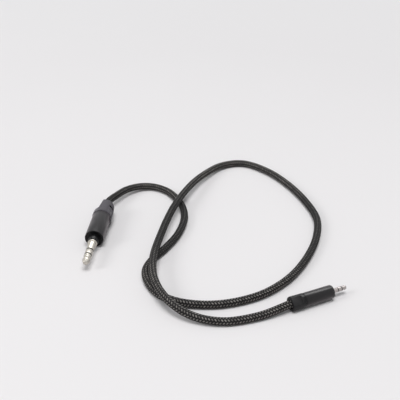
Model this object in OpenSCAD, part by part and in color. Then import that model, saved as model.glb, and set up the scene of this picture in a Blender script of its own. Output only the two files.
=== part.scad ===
// Instrument cable: a braided cord with a 6.35 mm three-pole plug on one end
// and a 3.5 mm three-pole plug on the other. Millimetres, +Z up, the cable lies on z = 0.
// Each plug is drawn once in its own frame: +z runs out of the barrel to the tip,
// z = 0 is the barrel's front plane, and -x is the side that faces up when it lies down.
// Sub-parts are shared by both plugs, which hand them their sizes as $ values.

/* [Cord] */
// Outer diameter of the braided cord
cord_d = 6.3; // [5.5:0.1:6.4]
// Outer diameter of the rubber jacket under the braid
jacket_d = 4.2; // [3.6:0.1:4.4]
// Running clearance of the clamp on the jacket
jacket_fit = 0.05; // [0.03:0.01:0.1]
// Clearance of the boot around the braid
braid_fit = 0.25; // [0.2:0.05:0.35]
// Outer diameter of an insulated inner lead
lead_d = 1.1; // [0.8:0.1:1.2]
// Outer diameter of the twisted bare shield
shield_d = 1; // [0.8:0.1:1.2]

/* [Fits] */
// Running clearance between a boot's thread and its barrel
thread_fit = 0.05; // [0.02:0.01:0.1]
// Gap between pieces of different bodies
body_gap = 0.25; // [0.15:0.05:0.3]
// Gap around an insert that is pushed into the barrel
push_fit = 0.05; // [0.02:0.01:0.1]

/* [Jack plug contacts] */
// Diameter of the plug's shaft
jack_shaft_d = 6.35; // [6.2:0.05:6.5]
// Length of the shaft from the flange's face to the end of the tip
jack_shaft_len = 27.7; // [26:0.1:31]
// Length of the tip contact
jack_tip_len = 9.5; // [8:0.1:10]
// Diameter of the blunt end of the tip
jack_tip_end_d = 3.2; // [2:0.1:3.5]
// Distance from the end of the tip to its widest point
jack_tip_belly = 3.6; // [3:0.1:4.2]
// Diameter of the latching groove behind the tip's belly
jack_groove_d = 4.9; // [4.4:0.1:5.4]
// Length of the ring contact
jack_ring_len = 5.3; // [4.5:0.1:6]
// Thickness of each black insulating ring
jack_washer_t = 1.5; // [0.7:0.1:1.6]
// Diameter of the sleeve's flange
jack_flange_d = 8; // [7.6:0.1:9]
// Thickness of the sleeve's flange
jack_flange_t = 1.2; // [0.8:0.1:2]
// Diameter of the tip's rod inside the shaft
jack_rod_d = 2.2; // [1.8:0.1:2.3]
// Wall of each tube nested in the shaft
jack_layer_t = 0.5; // [0.4:0.02:0.5]
// Diameter of the sleeve's stem inside the barrel
jack_stem_d = 6.8; // [6.5:0.1:7.2]

/* [Jack plug shell] */
// Diameter of the barrel
jack_barrel_d = 15.6; // [15.4:0.1:15.8]
// Length of the barrel
jack_barrel_len = 33; // [28:0.5:34]
// Wall of the barrel
jack_barrel_wall = 1.2; // [1:0.1:1.4]
// Thickness of the barrel's inner front wall
jack_front_wall = 2; // [1.4:0.1:3]
// Width of the rim around the insulating nose
jack_rim = 0.8; // [0.6:0.1:1.2]
// Radius of the barrel's front edge
jack_front_round = 0.6; // [0.3:0.1:0.7]
// Thickness of the nose's disc
jack_nose_t = 2.1; // [1.4:0.1:3]
// Depth of the nose's face behind the rim
jack_nose_recess = 0.4; // [0.2:0.1:0.8]
// Depth of the dish in the nose's face
jack_nose_dish = 0.4; // [0.2:0.1:0.6]
// Diameter of the nose's boss
jack_boss_d = 8.8; // [8.4:0.1:9.6]
// Length of the nose's boss in front of the barrel
jack_boss_len = 6.5; // [3:0.1:7]

/* [Jack plug boot] */
// Diameter of the boot at its collar
jack_boot_d = 16.4; // [16:0.1:16.6]
// Length of the boot behind the barrel
jack_boot_len = 20; // [18:0.25:24]
// Distance from the collar's face to where the tail starts to change width
jack_tail_start = 12.25; // [10:0.25:14]
// Diameter of the boot at its rear end
jack_tail_d = 15.4; // [13:0.1:16]
// Radius of the boot's rear edge
jack_tail_round = 2; // [0.5:0.1:2.5]
// Distance from the collar's face to the start of the thumb flat
jack_flat_start = 4.5; // [3:0.5:6]
// Length of the slope down to the thumb flat
jack_flat_ramp = 0.6; // [0.3:0.1:2]
// Distance of the thumb flat from the axis at its front
jack_flat_front = 6.5; // [6.4:0.1:7.5]
// Distance of the thumb flat from the axis at its rear
jack_flat_rear = 4.7; // [4.5:0.1:6]
// Diameter of the boot's bore at its flared mouth
jack_mouth_d = 8.4; // [7.6:0.1:8.6]
// Length of the flared mouth
jack_mouth_len = 5.5; // [3:0.5:6]
// Height of the boot's side tongue above the collar
jack_tongue_h = 0.6; // [0.5:0.1:1.2]
// Length of the tongue in front of the collar
jack_tongue_reach = 4; // [3:0.1:7]
// Width of the tongue in degrees
jack_tongue_angle = 40; // [30:5:70]
// Distance from the collar's face to the slot behind the tongue
jack_slot_start = 9.6; // [9:0.1:11]
// Width of the slot along the boot
jack_slot_w = 2; // [0.6:0.1:2.2]
// Depth of the slot
jack_slot_depth = 2.2; // [0.8:0.1:2.2]
// Length that the slot leans back on its way in
jack_slot_lean = 3.3; // [0:0.1:3.5]
// Length of the slot around the boot in degrees
jack_slot_angle = 42; // [30:2:60]
// Pitch of the boot's thread
jack_pitch = 1; // [0.75:0.25:1]
// Length of the threaded spigot inside the barrel
jack_spigot_len = 3.6; // [3.4:0.1:4.5]
// Wall of the threaded spigot
jack_spigot_wall = 1.1; // [0.9:0.1:1.2]
// Thickness of the clamp's flange
jack_clamp_flange = 1.6; // [1:0.1:2]
// Length of the clamp's fingers
jack_clamp_tail = 5; // [4:0.5:6]
// Width of the slits between the clamp's fingers
jack_clamp_slit = 1; // [0.6:0.1:1.2]

/* [Jack plug inside] */
// Thickness of the ground tang
jack_tang_t = 0.6; // [0.4:0.05:0.7]
// Gap between the ground tang's edge and the liner
jack_tang_gap = 0.35; // [0.25:0.05:0.6]
// Width of the ground tang's strip
jack_tang_w = 3; // [2:0.1:4]
// Length of the crimp around the jacket
jack_crimp_len = 2.4; // [1.5:0.1:3]
// Length of jacket in front of the clamp
jack_jacket_proud = 4; // [3.2:0.1:5]
// Width of the nut across its corners
jack_nut_d = 10; // [9:0.1:10.4]
// Thickness of the nut
jack_nut_t = 2.4; // [1.6:0.1:3]
// Length of the stem behind the nut
jack_stem_proud = 0.4; // [0.2:0.1:1]
// Thickness of each insulating washer on the rod
jack_spacer_t = 1; // [0.6:0.1:1.4]
// Thickness of each solder lug
jack_lug_t = 0.5; // [0.3:0.05:0.6]
// Diameter of the ring's solder lug
jack_ring_lug_d = 7.6; // [7:0.1:8]
// Diameter of the tip's solder lug
jack_tip_lug_d = 6; // [5.4:0.1:6]
// Width of each solder tab
jack_tab_w = 2.2; // [1.6:0.1:2.6]
// Length of each solder tab
jack_tab_len = 5; // [4:0.5:6]
// Diameter of each solder tab's eye
jack_eye_d = 1.1; // [0.8:0.1:1.3]
// Diameter of the riveted end of the tip's rod
jack_rivet_d = 3.4; // [3:0.1:4]
// Thickness of the riveted end of the tip's rod
jack_rivet_t = 0.7; // [0.4:0.1:1]
// Wall of the insulating liner
jack_liner_wall = 0.4; // [0.3:0.05:0.5]

/* [Mini plug contacts] */
// Diameter of the plug's shaft
mini_shaft_d = 3.5; // [3.4:0.05:3.6]
// Length of the shaft from the flange's face to the end of the tip
mini_shaft_len = 14; // [13:0.5:17]
// Length of the tip contact
mini_tip_len = 4; // [3.4:0.1:4.4]
// Diameter of the blunt end of the tip
mini_tip_end_d = 1.3; // [1:0.1:1.8]
// Distance from the end of the tip to its widest point
mini_tip_belly = 1.7; // [1.4:0.1:1.8]
// Diameter of the latching groove behind the tip's belly
mini_groove_d = 2.7; // [2.4:0.1:3]
// Length of the ring contact
mini_ring_len = 2.7; // [2.2:0.1:3]
// Thickness of each black insulating ring
mini_washer_t = 0.6; // [0.4:0.1:0.8]
// Diameter of the sleeve's flange
mini_flange_d = 5.2; // [4.8:0.1:5.6]
// Thickness of the sleeve's flange
mini_flange_t = 0.8; // [0.5:0.1:1.2]
// Diameter of the tip's rod inside the shaft
mini_rod_d = 1; // [0.8:0.05:1.1]
// Wall of each tube nested in the shaft
mini_layer_t = 0.28; // [0.22:0.02:0.3]
// Diameter of the sleeve's stem inside the barrel
mini_stem_d = 4.2; // [3.8:0.1:4.4]

/* [Mini plug shell] */
// Diameter of the barrel
mini_barrel_d = 10.6; // [10.4:0.1:10.8]
// Length of the barrel
mini_barrel_len = 24.75; // [22.5:0.25:28]
// Wall of the barrel
mini_barrel_wall = 0.8; // [0.7:0.05:0.85]
// Thickness of the barrel's inner front wall
mini_front_wall = 1.2; // [0.8:0.1:2]
// Width of the rim around the insulating nose
mini_rim = 1.2; // [1:0.1:1.4]
// Radius of the barrel's front edge
mini_front_round = 1.1; // [0.3:0.1:1.15]
// Thickness of the nose's disc
mini_nose_t = 3.6; // [3:0.1:4.4]
// Depth of the nose's face behind the rim
mini_nose_recess = 2.4; // [2:0.1:2.6]
// Depth of the dish in the nose's face
mini_nose_dish = 0.2; // [0.1:0.1:0.3]
// Diameter of the nose's boss
mini_boss_d = 6; // [5.6:0.1:6.4]
// How far the nose's boss stands in front of the barrel's front plane (less than 0 is inside)
mini_boss_len = -2.2; // [-2.6:0.1:-1.8]

/* [Mini plug boot] */
// Diameter of the boot at its collar
mini_boot_d = 11; // [10.8:0.1:11.2]
// Length of the boot behind the barrel
mini_boot_len = 11.25; // [9:0.25:13]
// Distance from the collar's face to where the tail starts to change width
mini_tail_start = 3.75; // [2:0.25:5]
// Diameter of the boot at its rear end
mini_tail_d = 11.3; // [11.1:0.1:11.6]
// Radius of the boot's rear edge
mini_tail_round = 0.8; // [0.4:0.1:1.2]
// Distance from the collar's face to the start of the thumb flat
mini_flat_start = 2.6; // [1.5:0.1:3]
// Length of the slope down to the thumb flat
mini_flat_ramp = 0.6; // [0.2:0.1:1]
// Distance of the thumb flat from the axis at its front
mini_flat_front = 4.3; // [4.2:0.1:4.8]
// Distance of the thumb flat from the axis at its rear
mini_flat_rear = 4.7; // [4.4:0.1:5]
// Diameter of the boot's bore at its flared mouth
mini_mouth_d = 7.4; // [7:0.1:7.8]
// Length of the flared mouth
mini_mouth_len = 1.5; // [1:0.25:3]
// Pitch of the boot's thread
mini_pitch = 0.75; // [0.5:0.25:0.75]
// Length of the threaded spigot inside the barrel
mini_spigot_len = 3; // [2.8:0.1:4]
// Wall of the threaded spigot
mini_spigot_wall = 0.7; // [0.5:0.05:0.8]
// Thickness of the clamp's flange
mini_clamp_flange = 1.2; // [0.8:0.1:1.6]
// Length of the clamp's fingers
mini_clamp_tail = 2.8; // [2:0.1:3]
// Width of the slits between the clamp's fingers
mini_clamp_slit = 0.6; // [0.4:0.1:0.8]

/* [Mini plug inside] */
// Thickness of the ground tang
mini_tang_t = 0.4; // [0.3:0.05:0.45]
// Gap between the ground tang's edge and the liner
mini_tang_gap = 0.35; // [0.2:0.05:0.5]
// Width of the ground tang's strip
mini_tang_w = 1.8; // [1.4:0.1:2.2]
// Length of the crimp around the jacket
mini_crimp_len = 1.8; // [1.2:0.1:2.2]
// Length of jacket in front of the clamp
mini_jacket_proud = 3; // [2.6:0.1:4]
// Width of the nut across its corners
mini_nut_d = 6.8; // [6.4:0.1:7]
// Thickness of the nut
mini_nut_t = 1.4; // [1:0.1:2]
// Length of the stem behind the nut
mini_stem_proud = 0.3; // [0.2:0.1:0.6]
// Thickness of each insulating washer on the rod
mini_spacer_t = 0.6; // [0.4:0.1:0.8]
// Thickness of each solder lug
mini_lug_t = 0.35; // [0.3:0.05:0.4]
// Diameter of the ring's solder lug
mini_ring_lug_d = 5.4; // [5.2:0.1:5.6]
// Diameter of the tip's solder lug
mini_tip_lug_d = 3.9; // [3.4:0.1:4]
// Width of each solder tab
mini_tab_w = 1.4; // [1.2:0.1:1.6]
// Length of each solder tab
mini_tab_len = 3.4; // [3:0.1:4]
// Diameter of each solder tab's eye
mini_eye_d = 0.7; // [0.5:0.1:0.8]
// Diameter of the riveted end of the tip's rod
mini_rivet_d = 1.8; // [1.5:0.1:2.2]
// Thickness of the riveted end of the tip's rod
mini_rivet_t = 0.4; // [0.3:0.1:0.6]
// Wall of the insulating liner
mini_liner_wall = 0.3; // [0.25:0.05:0.35]

/* [Hidden] */
$fn = 64;

// Turns that each boot unscrews
boot_turns = 3;
// Where each barrel's front plane stands, and the way its tip points
jack_spot = [-94.95, 16];
jack_heading = -94.7;
mini_spot = [90.97, -52.65];
mini_heading = 25.85;
// The turn of each thumb flat about the plug's axis, from the side that faces down
jack_flat_turn = 240;
mini_flat_turn = 218;
// The turn of the tongue and of the slot behind it
jack_tongue_turn = 78;
jack_slot_turn = 120;
// Heights of the plugs' axes, so that each rests on its widest diameter
jack_h = max(jack_barrel_d, jack_boot_d) / 2;
mini_h = max(mini_barrel_d, mini_tail_d) / 2;
// Straight cord behind each boot, and the overlap that a cut needs to be clean
cord_straight = 1.5;
cut = 0.1;
// Sides of the cord and of the thin leads, and rings for each stretch of their routes
cord_sides = 8;
lead_sides = 8;
cord_steps = 2;
lead_steps = 3;
// Distance of the leads from the axis where they leave the jacket
lead_exit = 0.75;
shield_exit = 0.9;
// How far a bent wire swings out before it turns in, as a share of its sideways run
wire_swing = 0.08;

// Points that the cord passes on its way from the jack plug to the mini plug
cord_points = [
    [-88.3, 79.5, 8.0], [-83.2, 89.1, 7.4], [-75.0, 102.6, 6.0], [-63.2, 111.5, 4.4],
    [-50.0, 112.3, 3.4], [-37.4, 104.0, 3.2], [-27.8, 88.6, 3.2], [-22.2, 70.5, 3.2],
    [-21.9, 51.6, 3.2], [-26.9, 29.9, 3.2], [-35.8, 10.6, 3.2], [-45.2, -5.3, 3.2],
    [-50.4, -20.9, 3.2], [-47.6, -37.8, 3.2], [-38.2, -53.5, 3.2], [-22.3, -62.8, 3.2],
    [-1.0, -65.8, 3.2], [19.8, -62.0, 3.2], [41.5, -51.3, 3.2], [61.7, -31.7, 3.2],
    [77.7, -5.1, 3.2], [89.0, 24.5, 3.2], [93.6, 54.6, 3.2], [87.9, 83.8, 3.2],
    [75.7, 114.6, 3.2], [58.4, 141.9, 3.2], [36.0, 159.5, 3.2], [13.7, 154.6, 3.8],
    [-4.8, 130.0, 6.4], [-19.0, 99.2, 9.2], [-31.4, 62.1, 10.0], [-40.6, 18.0, 9.8],
    [-44.9, -16.9, 9.8], [-41.6, -45.8, 9.8], [-30.4, -68.7, 8.8], [-12.8, -81.5, 5.0],
    [10.6, -85.4, 3.2], [35.8, -79.0, 3.4]
];

// --- Shared functions ---

// Cubic curve through b and c, shaped by their neighbours a and d
function curve_at(a, b, c, d, t) =
    (2 * b + (c - a) * t + (2 * a - 5 * b + 4 * c - d) * t * t
        + (3 * b - a - 3 * c + d) * t * t * t) / 2;

// Smooth line through the points, with extra points before and after to set its end slopes
function smooth_line(points, steps) = [
    for (i = [1 : len(points) - 3])
        for (k = [0 : steps - 1])
            curve_at(points[i - 1], points[i], points[i + 1], points[i + 2], k / steps),
    points[len(points) - 2]
];

function unit(v) = v / norm(v);

// Direction of a line at point i, given the directions at its two ends
function heading_at(line, i, first, last) =
    i == 0 ? first : i == len(line) - 1 ? last : unit(line[i + 1] - line[i - 1]);

// Points of the ring around a line's point, square to its direction
function ring_at(centre, along, side_hint, r, sides) =
    let (side = unit(cross(along, side_hint)), up = cross(side, along))
    [for (k = [0 : sides - 1])
        centre + r * (side * cos(360 * k / sides) + up * sin(360 * k / sides))];

// Solid tube along a line, with flat ends square to the given directions
module swept_tube(line, r, sides, first, last, side_hint) {
    count = len(line);
    rings = [
        for (i = [0 : count - 1])
            each ring_at(line[i], heading_at(line, i, first, last), side_hint, r, sides)
    ];
    walls = [
        for (i = [0 : count - 2])
            for (k = [0 : sides - 1])
                let (n = (k + 1) % sides, a = i * sides, b = a + sides)
                each [[a + k, b + k, b + n], [a + k, b + n, a + n]]
    ];
    start_cap = [[for (k = [0 : sides - 1]) k]];
    end_cap = [[for (k = [sides - 1 : -1 : 0]) (count - 1) * sides + k]];
    polyhedron(points = rings, faces = concat(start_cap, walls, end_cap));
}

// Point on a plug's axis, a distance behind the barrel's front plane
function behind(spot, heading, h, distance) =
    [spot[0] - distance * cos(heading), spot[1] - distance * sin(heading), h];

// Round tube standing on z = low
module pipe(low, high, inner_r, outer_r) {
    translate([0, 0, low])
        difference() {
            cylinder(h = high - low, r = outer_r);
            translate([0, 0, -cut])
                cylinder(h = high - low + 2 * cut, r = inner_r);
        }
}

// --- Placing the two plugs ---

module lay_down(spot, heading, h) {
    translate([spot[0], spot[1], h])
        rotate([0, 0, heading])
            rotate([0, 90, 0])
                children();
}

module jack_plug() {
    $shaft_r = jack_shaft_d / 2;
    $shaft_len = jack_shaft_len;
    $tip_len = jack_tip_len;
    $tip_end_r = jack_tip_end_d / 2;
    $tip_belly = jack_tip_belly;
    $groove_r = jack_groove_d / 2;
    $ring_len = jack_ring_len;
    $washer_t = jack_washer_t;
    $flange_r = jack_flange_d / 2;
    $flange_t = jack_flange_t;
    $rod_r = jack_rod_d / 2;
    $layer_t = jack_layer_t;
    $stem_r = jack_stem_d / 2;
    $barrel_r = jack_barrel_d / 2;
    $barrel_len = jack_barrel_len;
    $bore_r = $barrel_r - jack_barrel_wall;
    $front_wall = jack_front_wall;
    $rim = jack_rim;
    $front_round = jack_front_round;
    $nose_t = jack_nose_t;
    $nose_recess = jack_nose_recess;
    $nose_dish = jack_nose_dish;
    $boss_r = jack_boss_d / 2;
    $boss_len = jack_boss_len;
    $boot_r = jack_boot_d / 2;
    $boot_len = jack_boot_len;
    $tail_start = jack_tail_start;
    $tail_r = jack_tail_d / 2;
    $tail_round = jack_tail_round;
    $flat_start = jack_flat_start;
    $flat_ramp = jack_flat_ramp;
    $flat_front = jack_flat_front;
    $flat_rear = jack_flat_rear;
    $flat_turn = jack_flat_turn;
    $mouth_r = jack_mouth_d / 2;
    $mouth_len = jack_mouth_len;
    $travel = boot_turns * jack_pitch;
    $spigot_len = jack_spigot_len;
    $spigot_wall = jack_spigot_wall;
    $clamp_flange = jack_clamp_flange;
    $clamp_tail = jack_clamp_tail;
    $clamp_slit = jack_clamp_slit;
    $tang_t = jack_tang_t;
    $tang_gap = jack_tang_gap;
    $tang_w = jack_tang_w;
    $crimp_len = jack_crimp_len;
    $jacket_proud = jack_jacket_proud;
    $nut_r = jack_nut_d / 2;
    $nut_t = jack_nut_t;
    $stem_proud = jack_stem_proud;
    $spacer_t = jack_spacer_t;
    $lug_t = jack_lug_t;
    $ring_lug_r = jack_ring_lug_d / 2;
    $tip_lug_r = jack_tip_lug_d / 2;
    $tab_w = jack_tab_w;
    $tab_len = jack_tab_len;
    $eye_d = jack_eye_d;
    $rivet_r = jack_rivet_d / 2;
    $rivet_t = jack_rivet_t;
    $liner_wall = jack_liner_wall;
    lay_down(jack_spot, jack_heading, jack_h)
        children();
}

module mini_plug() {
    $shaft_r = mini_shaft_d / 2;
    $shaft_len = mini_shaft_len;
    $tip_len = mini_tip_len;
    $tip_end_r = mini_tip_end_d / 2;
    $tip_belly = mini_tip_belly;
    $groove_r = mini_groove_d / 2;
    $ring_len = mini_ring_len;
    $washer_t = mini_washer_t;
    $flange_r = mini_flange_d / 2;
    $flange_t = mini_flange_t;
    $rod_r = mini_rod_d / 2;
    $layer_t = mini_layer_t;
    $stem_r = mini_stem_d / 2;
    $barrel_r = mini_barrel_d / 2;
    $barrel_len = mini_barrel_len;
    $bore_r = $barrel_r - mini_barrel_wall;
    $front_wall = mini_front_wall;
    $rim = mini_rim;
    $front_round = mini_front_round;
    $nose_t = mini_nose_t;
    $nose_recess = mini_nose_recess;
    $nose_dish = mini_nose_dish;
    $boss_r = mini_boss_d / 2;
    $boss_len = mini_boss_len;
    $boot_r = mini_boot_d / 2;
    $boot_len = mini_boot_len;
    $tail_start = mini_tail_start;
    $tail_r = mini_tail_d / 2;
    $tail_round = mini_tail_round;
    $flat_start = mini_flat_start;
    $flat_ramp = mini_flat_ramp;
    $flat_front = mini_flat_front;
    $flat_rear = mini_flat_rear;
    $flat_turn = mini_flat_turn;
    $mouth_r = mini_mouth_d / 2;
    $mouth_len = mini_mouth_len;
    $travel = boot_turns * mini_pitch;
    $spigot_len = mini_spigot_len;
    $spigot_wall = mini_spigot_wall;
    $clamp_flange = mini_clamp_flange;
    $clamp_tail = mini_clamp_tail;
    $clamp_slit = mini_clamp_slit;
    $tang_t = mini_tang_t;
    $tang_gap = mini_tang_gap;
    $tang_w = mini_tang_w;
    $crimp_len = mini_crimp_len;
    $jacket_proud = mini_jacket_proud;
    $nut_r = mini_nut_d / 2;
    $nut_t = mini_nut_t;
    $stem_proud = mini_stem_proud;
    $spacer_t = mini_spacer_t;
    $lug_t = mini_lug_t;
    $ring_lug_r = mini_ring_lug_d / 2;
    $tip_lug_r = mini_tip_lug_d / 2;
    $tab_w = mini_tab_w;
    $tab_len = mini_tab_len;
    $eye_d = mini_eye_d;
    $rivet_r = mini_rivet_d / 2;
    $rivet_t = mini_rivet_t;
    $liner_wall = mini_liner_wall;
    lay_down(mini_spot, mini_heading, mini_h)
        children();
}

// --- Stations along a plug's axis, from the tip backwards ---

function tip_end() = $boss_len + $flange_t + $shaft_len;
function tip_back() = tip_end() - $tip_len;
function ring_front() = tip_back() - $washer_t;
function ring_back() = ring_front() - $ring_len;
function sleeve_front() = ring_back() - $washer_t;
function wall_front() = -$nose_t;
function wall_back() = wall_front() - $front_wall;
function nut_front() = wall_back() - $tang_t;
function nut_back() = nut_front() - $nut_t;
function stem_back() = nut_back() - $stem_proud;
function ring_lug_front() = stem_back() - $spacer_t;
function ring_lug_back() = ring_lug_front() - $lug_t;
function tip_lug_front() = ring_lug_back() - $spacer_t;
function tip_lug_back() = tip_lug_front() - $lug_t;
function rod_back() = tip_lug_back() - $rivet_t;
function liner_r() = $bore_r - push_fit - $liner_wall;
function tang_r() = liner_r() - $tang_gap;
function spigot_front() = $spigot_len - $barrel_len;
function flange_back() = spigot_front() + body_gap;
function flange_front() = flange_back() + $clamp_flange;
function clamp_back() = flange_back() - $clamp_tail;
function jacket_front() = flange_front() + $jacket_proud;
function braid_front() = clamp_back() - $travel - body_gap;
function collar_front() = -$barrel_len - body_gap;
function boot_back() = collar_front() - $boot_len;
function cord_start() = boot_back() - cord_straight;
function spigot_r() = $bore_r - thread_fit;
function socket_r() = spigot_r() - $spigot_wall;
function braid_bore_r() = cord_d / 2 + braid_fit;

// --- Sub-parts, each drawn in the plug's own frame ---

// Tip contact: a bulb with a latching groove, on a rod that runs back to its solder lug
module tip_contact() {
    groove_at = tip_back() + ($tip_len - $tip_belly) / 2;
    color("gainsboro")
        rotate_extrude()
            polygon([
                [0, tip_end()],
                [$tip_end_r * 0.7, tip_end()],
                [$tip_end_r, tip_end() - $tip_end_r * 0.3],
                [$shaft_r * 0.86, tip_end() - $tip_belly * 0.72],
                [$shaft_r * 0.97, tip_end() - $tip_belly * 0.88],
                [$shaft_r, tip_end() - $tip_belly],
                [$shaft_r * 0.95, tip_end() - $tip_belly * 1.16],
                [$groove_r, groove_at],
                [$shaft_r, tip_back() + ($tip_len - $tip_belly) * 0.16],
                [$shaft_r, tip_back()],
                [$rod_r, tip_back()],
                [$rod_r, tip_lug_back()],
                [$rivet_r, tip_lug_back()],
                [$rivet_r, rod_back()],
                [0, rod_back()]
            ]);
}

// Black ring between the tip and the ring contact
module tip_washer() {
    color("black")
        pipe(ring_front(), tip_back(), $rod_r, $shaft_r);
}

// Ring contact: a band on a tube that runs back to its solder lug
module ring_contact() {
    color("gainsboro") {
        pipe(ring_back(), ring_front(), $rod_r + $layer_t, $shaft_r);
        pipe(ring_lug_back(), ring_back() + cut, $rod_r + $layer_t, $rod_r + 2 * $layer_t);
    }
}

// Black ring between the ring contact and the sleeve
module ring_washer() {
    color("black")
        pipe(sleeve_front(), ring_back(), $rod_r + 2 * $layer_t, $shaft_r);
}

// Sleeve contact: the rest of the shaft, its flange and its threaded stem
module sleeve_contact() {
    bore_r = $rod_r + 3 * $layer_t;
    color("gainsboro")
        difference() {
            union() {
                translate([0, 0, $boss_len])
                    cylinder(h = sleeve_front() - $boss_len, r = $shaft_r);
                translate([0, 0, $boss_len])
                    cylinder(h = $flange_t, r = $flange_r);
                translate([0, 0, stem_back()])
                    cylinder(h = $boss_len - stem_back() + cut, r = $stem_r);
            }
            translate([0, 0, stem_back() - cut])
                cylinder(h = sleeve_front() - stem_back() + 2 * cut, r = bore_r);
        }
}

// Insulating tube between the tip's rod and the ring's tube
module inner_tube() {
    color("ivory")
        pipe(ring_lug_back(), ring_front(), $rod_r, $rod_r + $layer_t);
}

// Insulating tube between the ring's tube and the sleeve
module outer_tube() {
    color("ivory")
        pipe(stem_back(), sleeve_front(), $rod_r + 2 * $layer_t, $rod_r + 3 * $layer_t);
}

// Insulating nose: a shallow dish in the barrel's mouth with a boss up to the flange
module nose() {
    disc_r = $barrel_r - $rim - push_fit;
    color("black")
        rotate_extrude()
            polygon([
                [$stem_r, wall_front()],
                [disc_r, wall_front()],
                [disc_r, -$nose_recess],
                [$boss_r, -$nose_recess - $nose_dish],
                [$boss_r, $boss_len],
                [$stem_r, $boss_len]
            ]);
}

// Barrel: the outer shell, with an inner front wall that the contacts are clamped to
module barrel() {
    mouth_r = $barrel_r - $rim;
    edge = [
        for (a = [0 : 15 : 90])
            [$barrel_r - $front_round * (1 - cos(a)), -$front_round * (1 - sin(a))]
    ];
    color("dimgray")
        rotate_extrude()
            polygon(concat(
                [
                    [$bore_r, -$barrel_len],
                    [$barrel_r - $front_round / 2, -$barrel_len],
                    [$barrel_r, $front_round / 2 - $barrel_len]
                ],
                edge,
                [
                    [mouth_r, 0],
                    [mouth_r, wall_front()],
                    [$stem_r, wall_front()],
                    [$stem_r, wall_back()],
                    [$bore_r, wall_back()]
                ]
            ));
}

// Ground tang: a ring under the nut, with a strip back to a crimp around the jacket
module ground_tang() {
    jacket_r = jacket_d / 2;
    crimp_front = jacket_front() - shield_d;
    strip_len = nut_front() - (crimp_front - $crimp_len);
    color("silver")
        difference() {
            union() {
                pipe(nut_front(), wall_back(), $stem_r, tang_r() - $tang_t);
                translate([0, -$tang_w / 2, nut_front()])
                    cube([tang_r() - cut, $tang_w, $tang_t]);
                translate([tang_r() - $tang_t, -$tang_w / 2, nut_front() - strip_len])
                    cube([$tang_t, $tang_w, strip_len + $tang_t]);
                translate([jacket_r, -$tang_w / 2, crimp_front - $crimp_len])
                    cube([tang_r() - jacket_r, $tang_w, $tang_t]);
                translate([0, 0, crimp_front - $crimp_len])
                    cylinder(h = $crimp_len, r = jacket_r + $tang_t);
            }
            translate([0, 0, stem_back()])
                cylinder(h = wall_back() - stem_back() + cut, r = $stem_r);
            translate([0, 0, crimp_front - $crimp_len - cut])
                cylinder(h = $crimp_len + 2 * cut, r = jacket_r);
            translate([-jacket_d, -$tang_w / 4, crimp_front - $crimp_len - cut])
                cube([jacket_d, $tang_w / 2, $crimp_len + 2 * cut]);
        }
}

// Hexagon nut that clamps the contacts to the barrel's front wall, one flat to the tang's strip
module stem_nut() {
    color("goldenrod")
        translate([0, 0, nut_back()])
            difference() {
                rotate([0, 0, 30])
                    cylinder(h = $nut_t, r = $nut_r, $fn = 6);
                translate([0, 0, -cut])
                    cylinder(h = $nut_t + 2 * cut, r = $stem_r);
            }
}

// Insulating washer behind the stem
module ring_spacer() {
    color("ivory")
        pipe(ring_lug_front(), stem_back(), $rod_r + 2 * $layer_t, $ring_lug_r);
}

// Insulating washer between the two solder lugs
module tip_spacer() {
    color("ivory")
        pipe(tip_lug_front(), ring_lug_back(), $rod_r, $tip_lug_r);
}

// Solder lug: a washer with one tab bent back, pierced for the lead
module solder_lug(back, bore_r, lug_r, turn) {
    rotate([0, 0, turn])
        difference() {
            union() {
                translate([0, 0, back])
                    cylinder(h = $lug_t, r = lug_r - $lug_t);
                translate([0, -$tab_w / 2, back])
                    cube([lug_r - cut, $tab_w, $lug_t]);
                translate([lug_r - $lug_t, -$tab_w / 2, back - $tab_len])
                    cube([$lug_t, $tab_w, $tab_len + $lug_t]);
            }
            translate([0, 0, back - cut])
                cylinder(h = $lug_t + 2 * cut, r = bore_r);
            translate([lug_r - $lug_t - cut, 0, back - $tab_len + $tab_w / 2])
                rotate([0, 90, 0])
                    cylinder(h = $lug_t + 2 * cut, d = $eye_d);
        }
}

module ring_lug() {
    color("silver")
        solder_lug(ring_lug_back(), $rod_r + 2 * $layer_t, $ring_lug_r, 90);
}

module tip_lug() {
    color("silver")
        solder_lug(tip_lug_back(), $rod_r, $tip_lug_r, -90);
}

// Insulating liner inside the barrel
module liner() {
    color("ivory")
        pipe(flange_front() + body_gap, nut_back(), liner_r(), $bore_r - push_fit);
}

// Cable clamp: a flanged sleeve with four fingers that grip the jacket
module cable_clamp() {
    bore_r = jacket_d / 2 + jacket_fit;
    color("darkslategray")
        difference() {
            union() {
                translate([0, 0, flange_back()])
                    cylinder(h = $clamp_flange, r = $bore_r - body_gap);
                translate([0, 0, clamp_back()])
                    cylinder(h = $clamp_tail + cut, r = socket_r() - body_gap);
            }
            translate([0, 0, clamp_back() - cut])
                cylinder(h = $clamp_tail + $clamp_flange + 2 * cut, r = bore_r);
            for (turn = [0, 90])
                rotate([0, 0, turn])
                    translate([-$bore_r, -$clamp_slit / 2, clamp_back() - cut])
                        cube([2 * $bore_r, $clamp_slit, $clamp_tail + cut - body_gap]);
        }
}

// Half section of the boot's outside, with the spigot in front and the rounded rear end
function boot_section() = concat(
    [
        [0, boot_back()],
        [0, spigot_front()],
        [spigot_r(), spigot_front()],
        [spigot_r(), collar_front()],
        [$boot_r, collar_front()],
        [$boot_r, collar_front() - $tail_start]
    ],
    [
        for (a = [0 : 15 : 90])
            [$tail_r - $tail_round * (1 - cos(a)), boot_back() + $tail_round * (1 - sin(a))]
    ]
);

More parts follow.
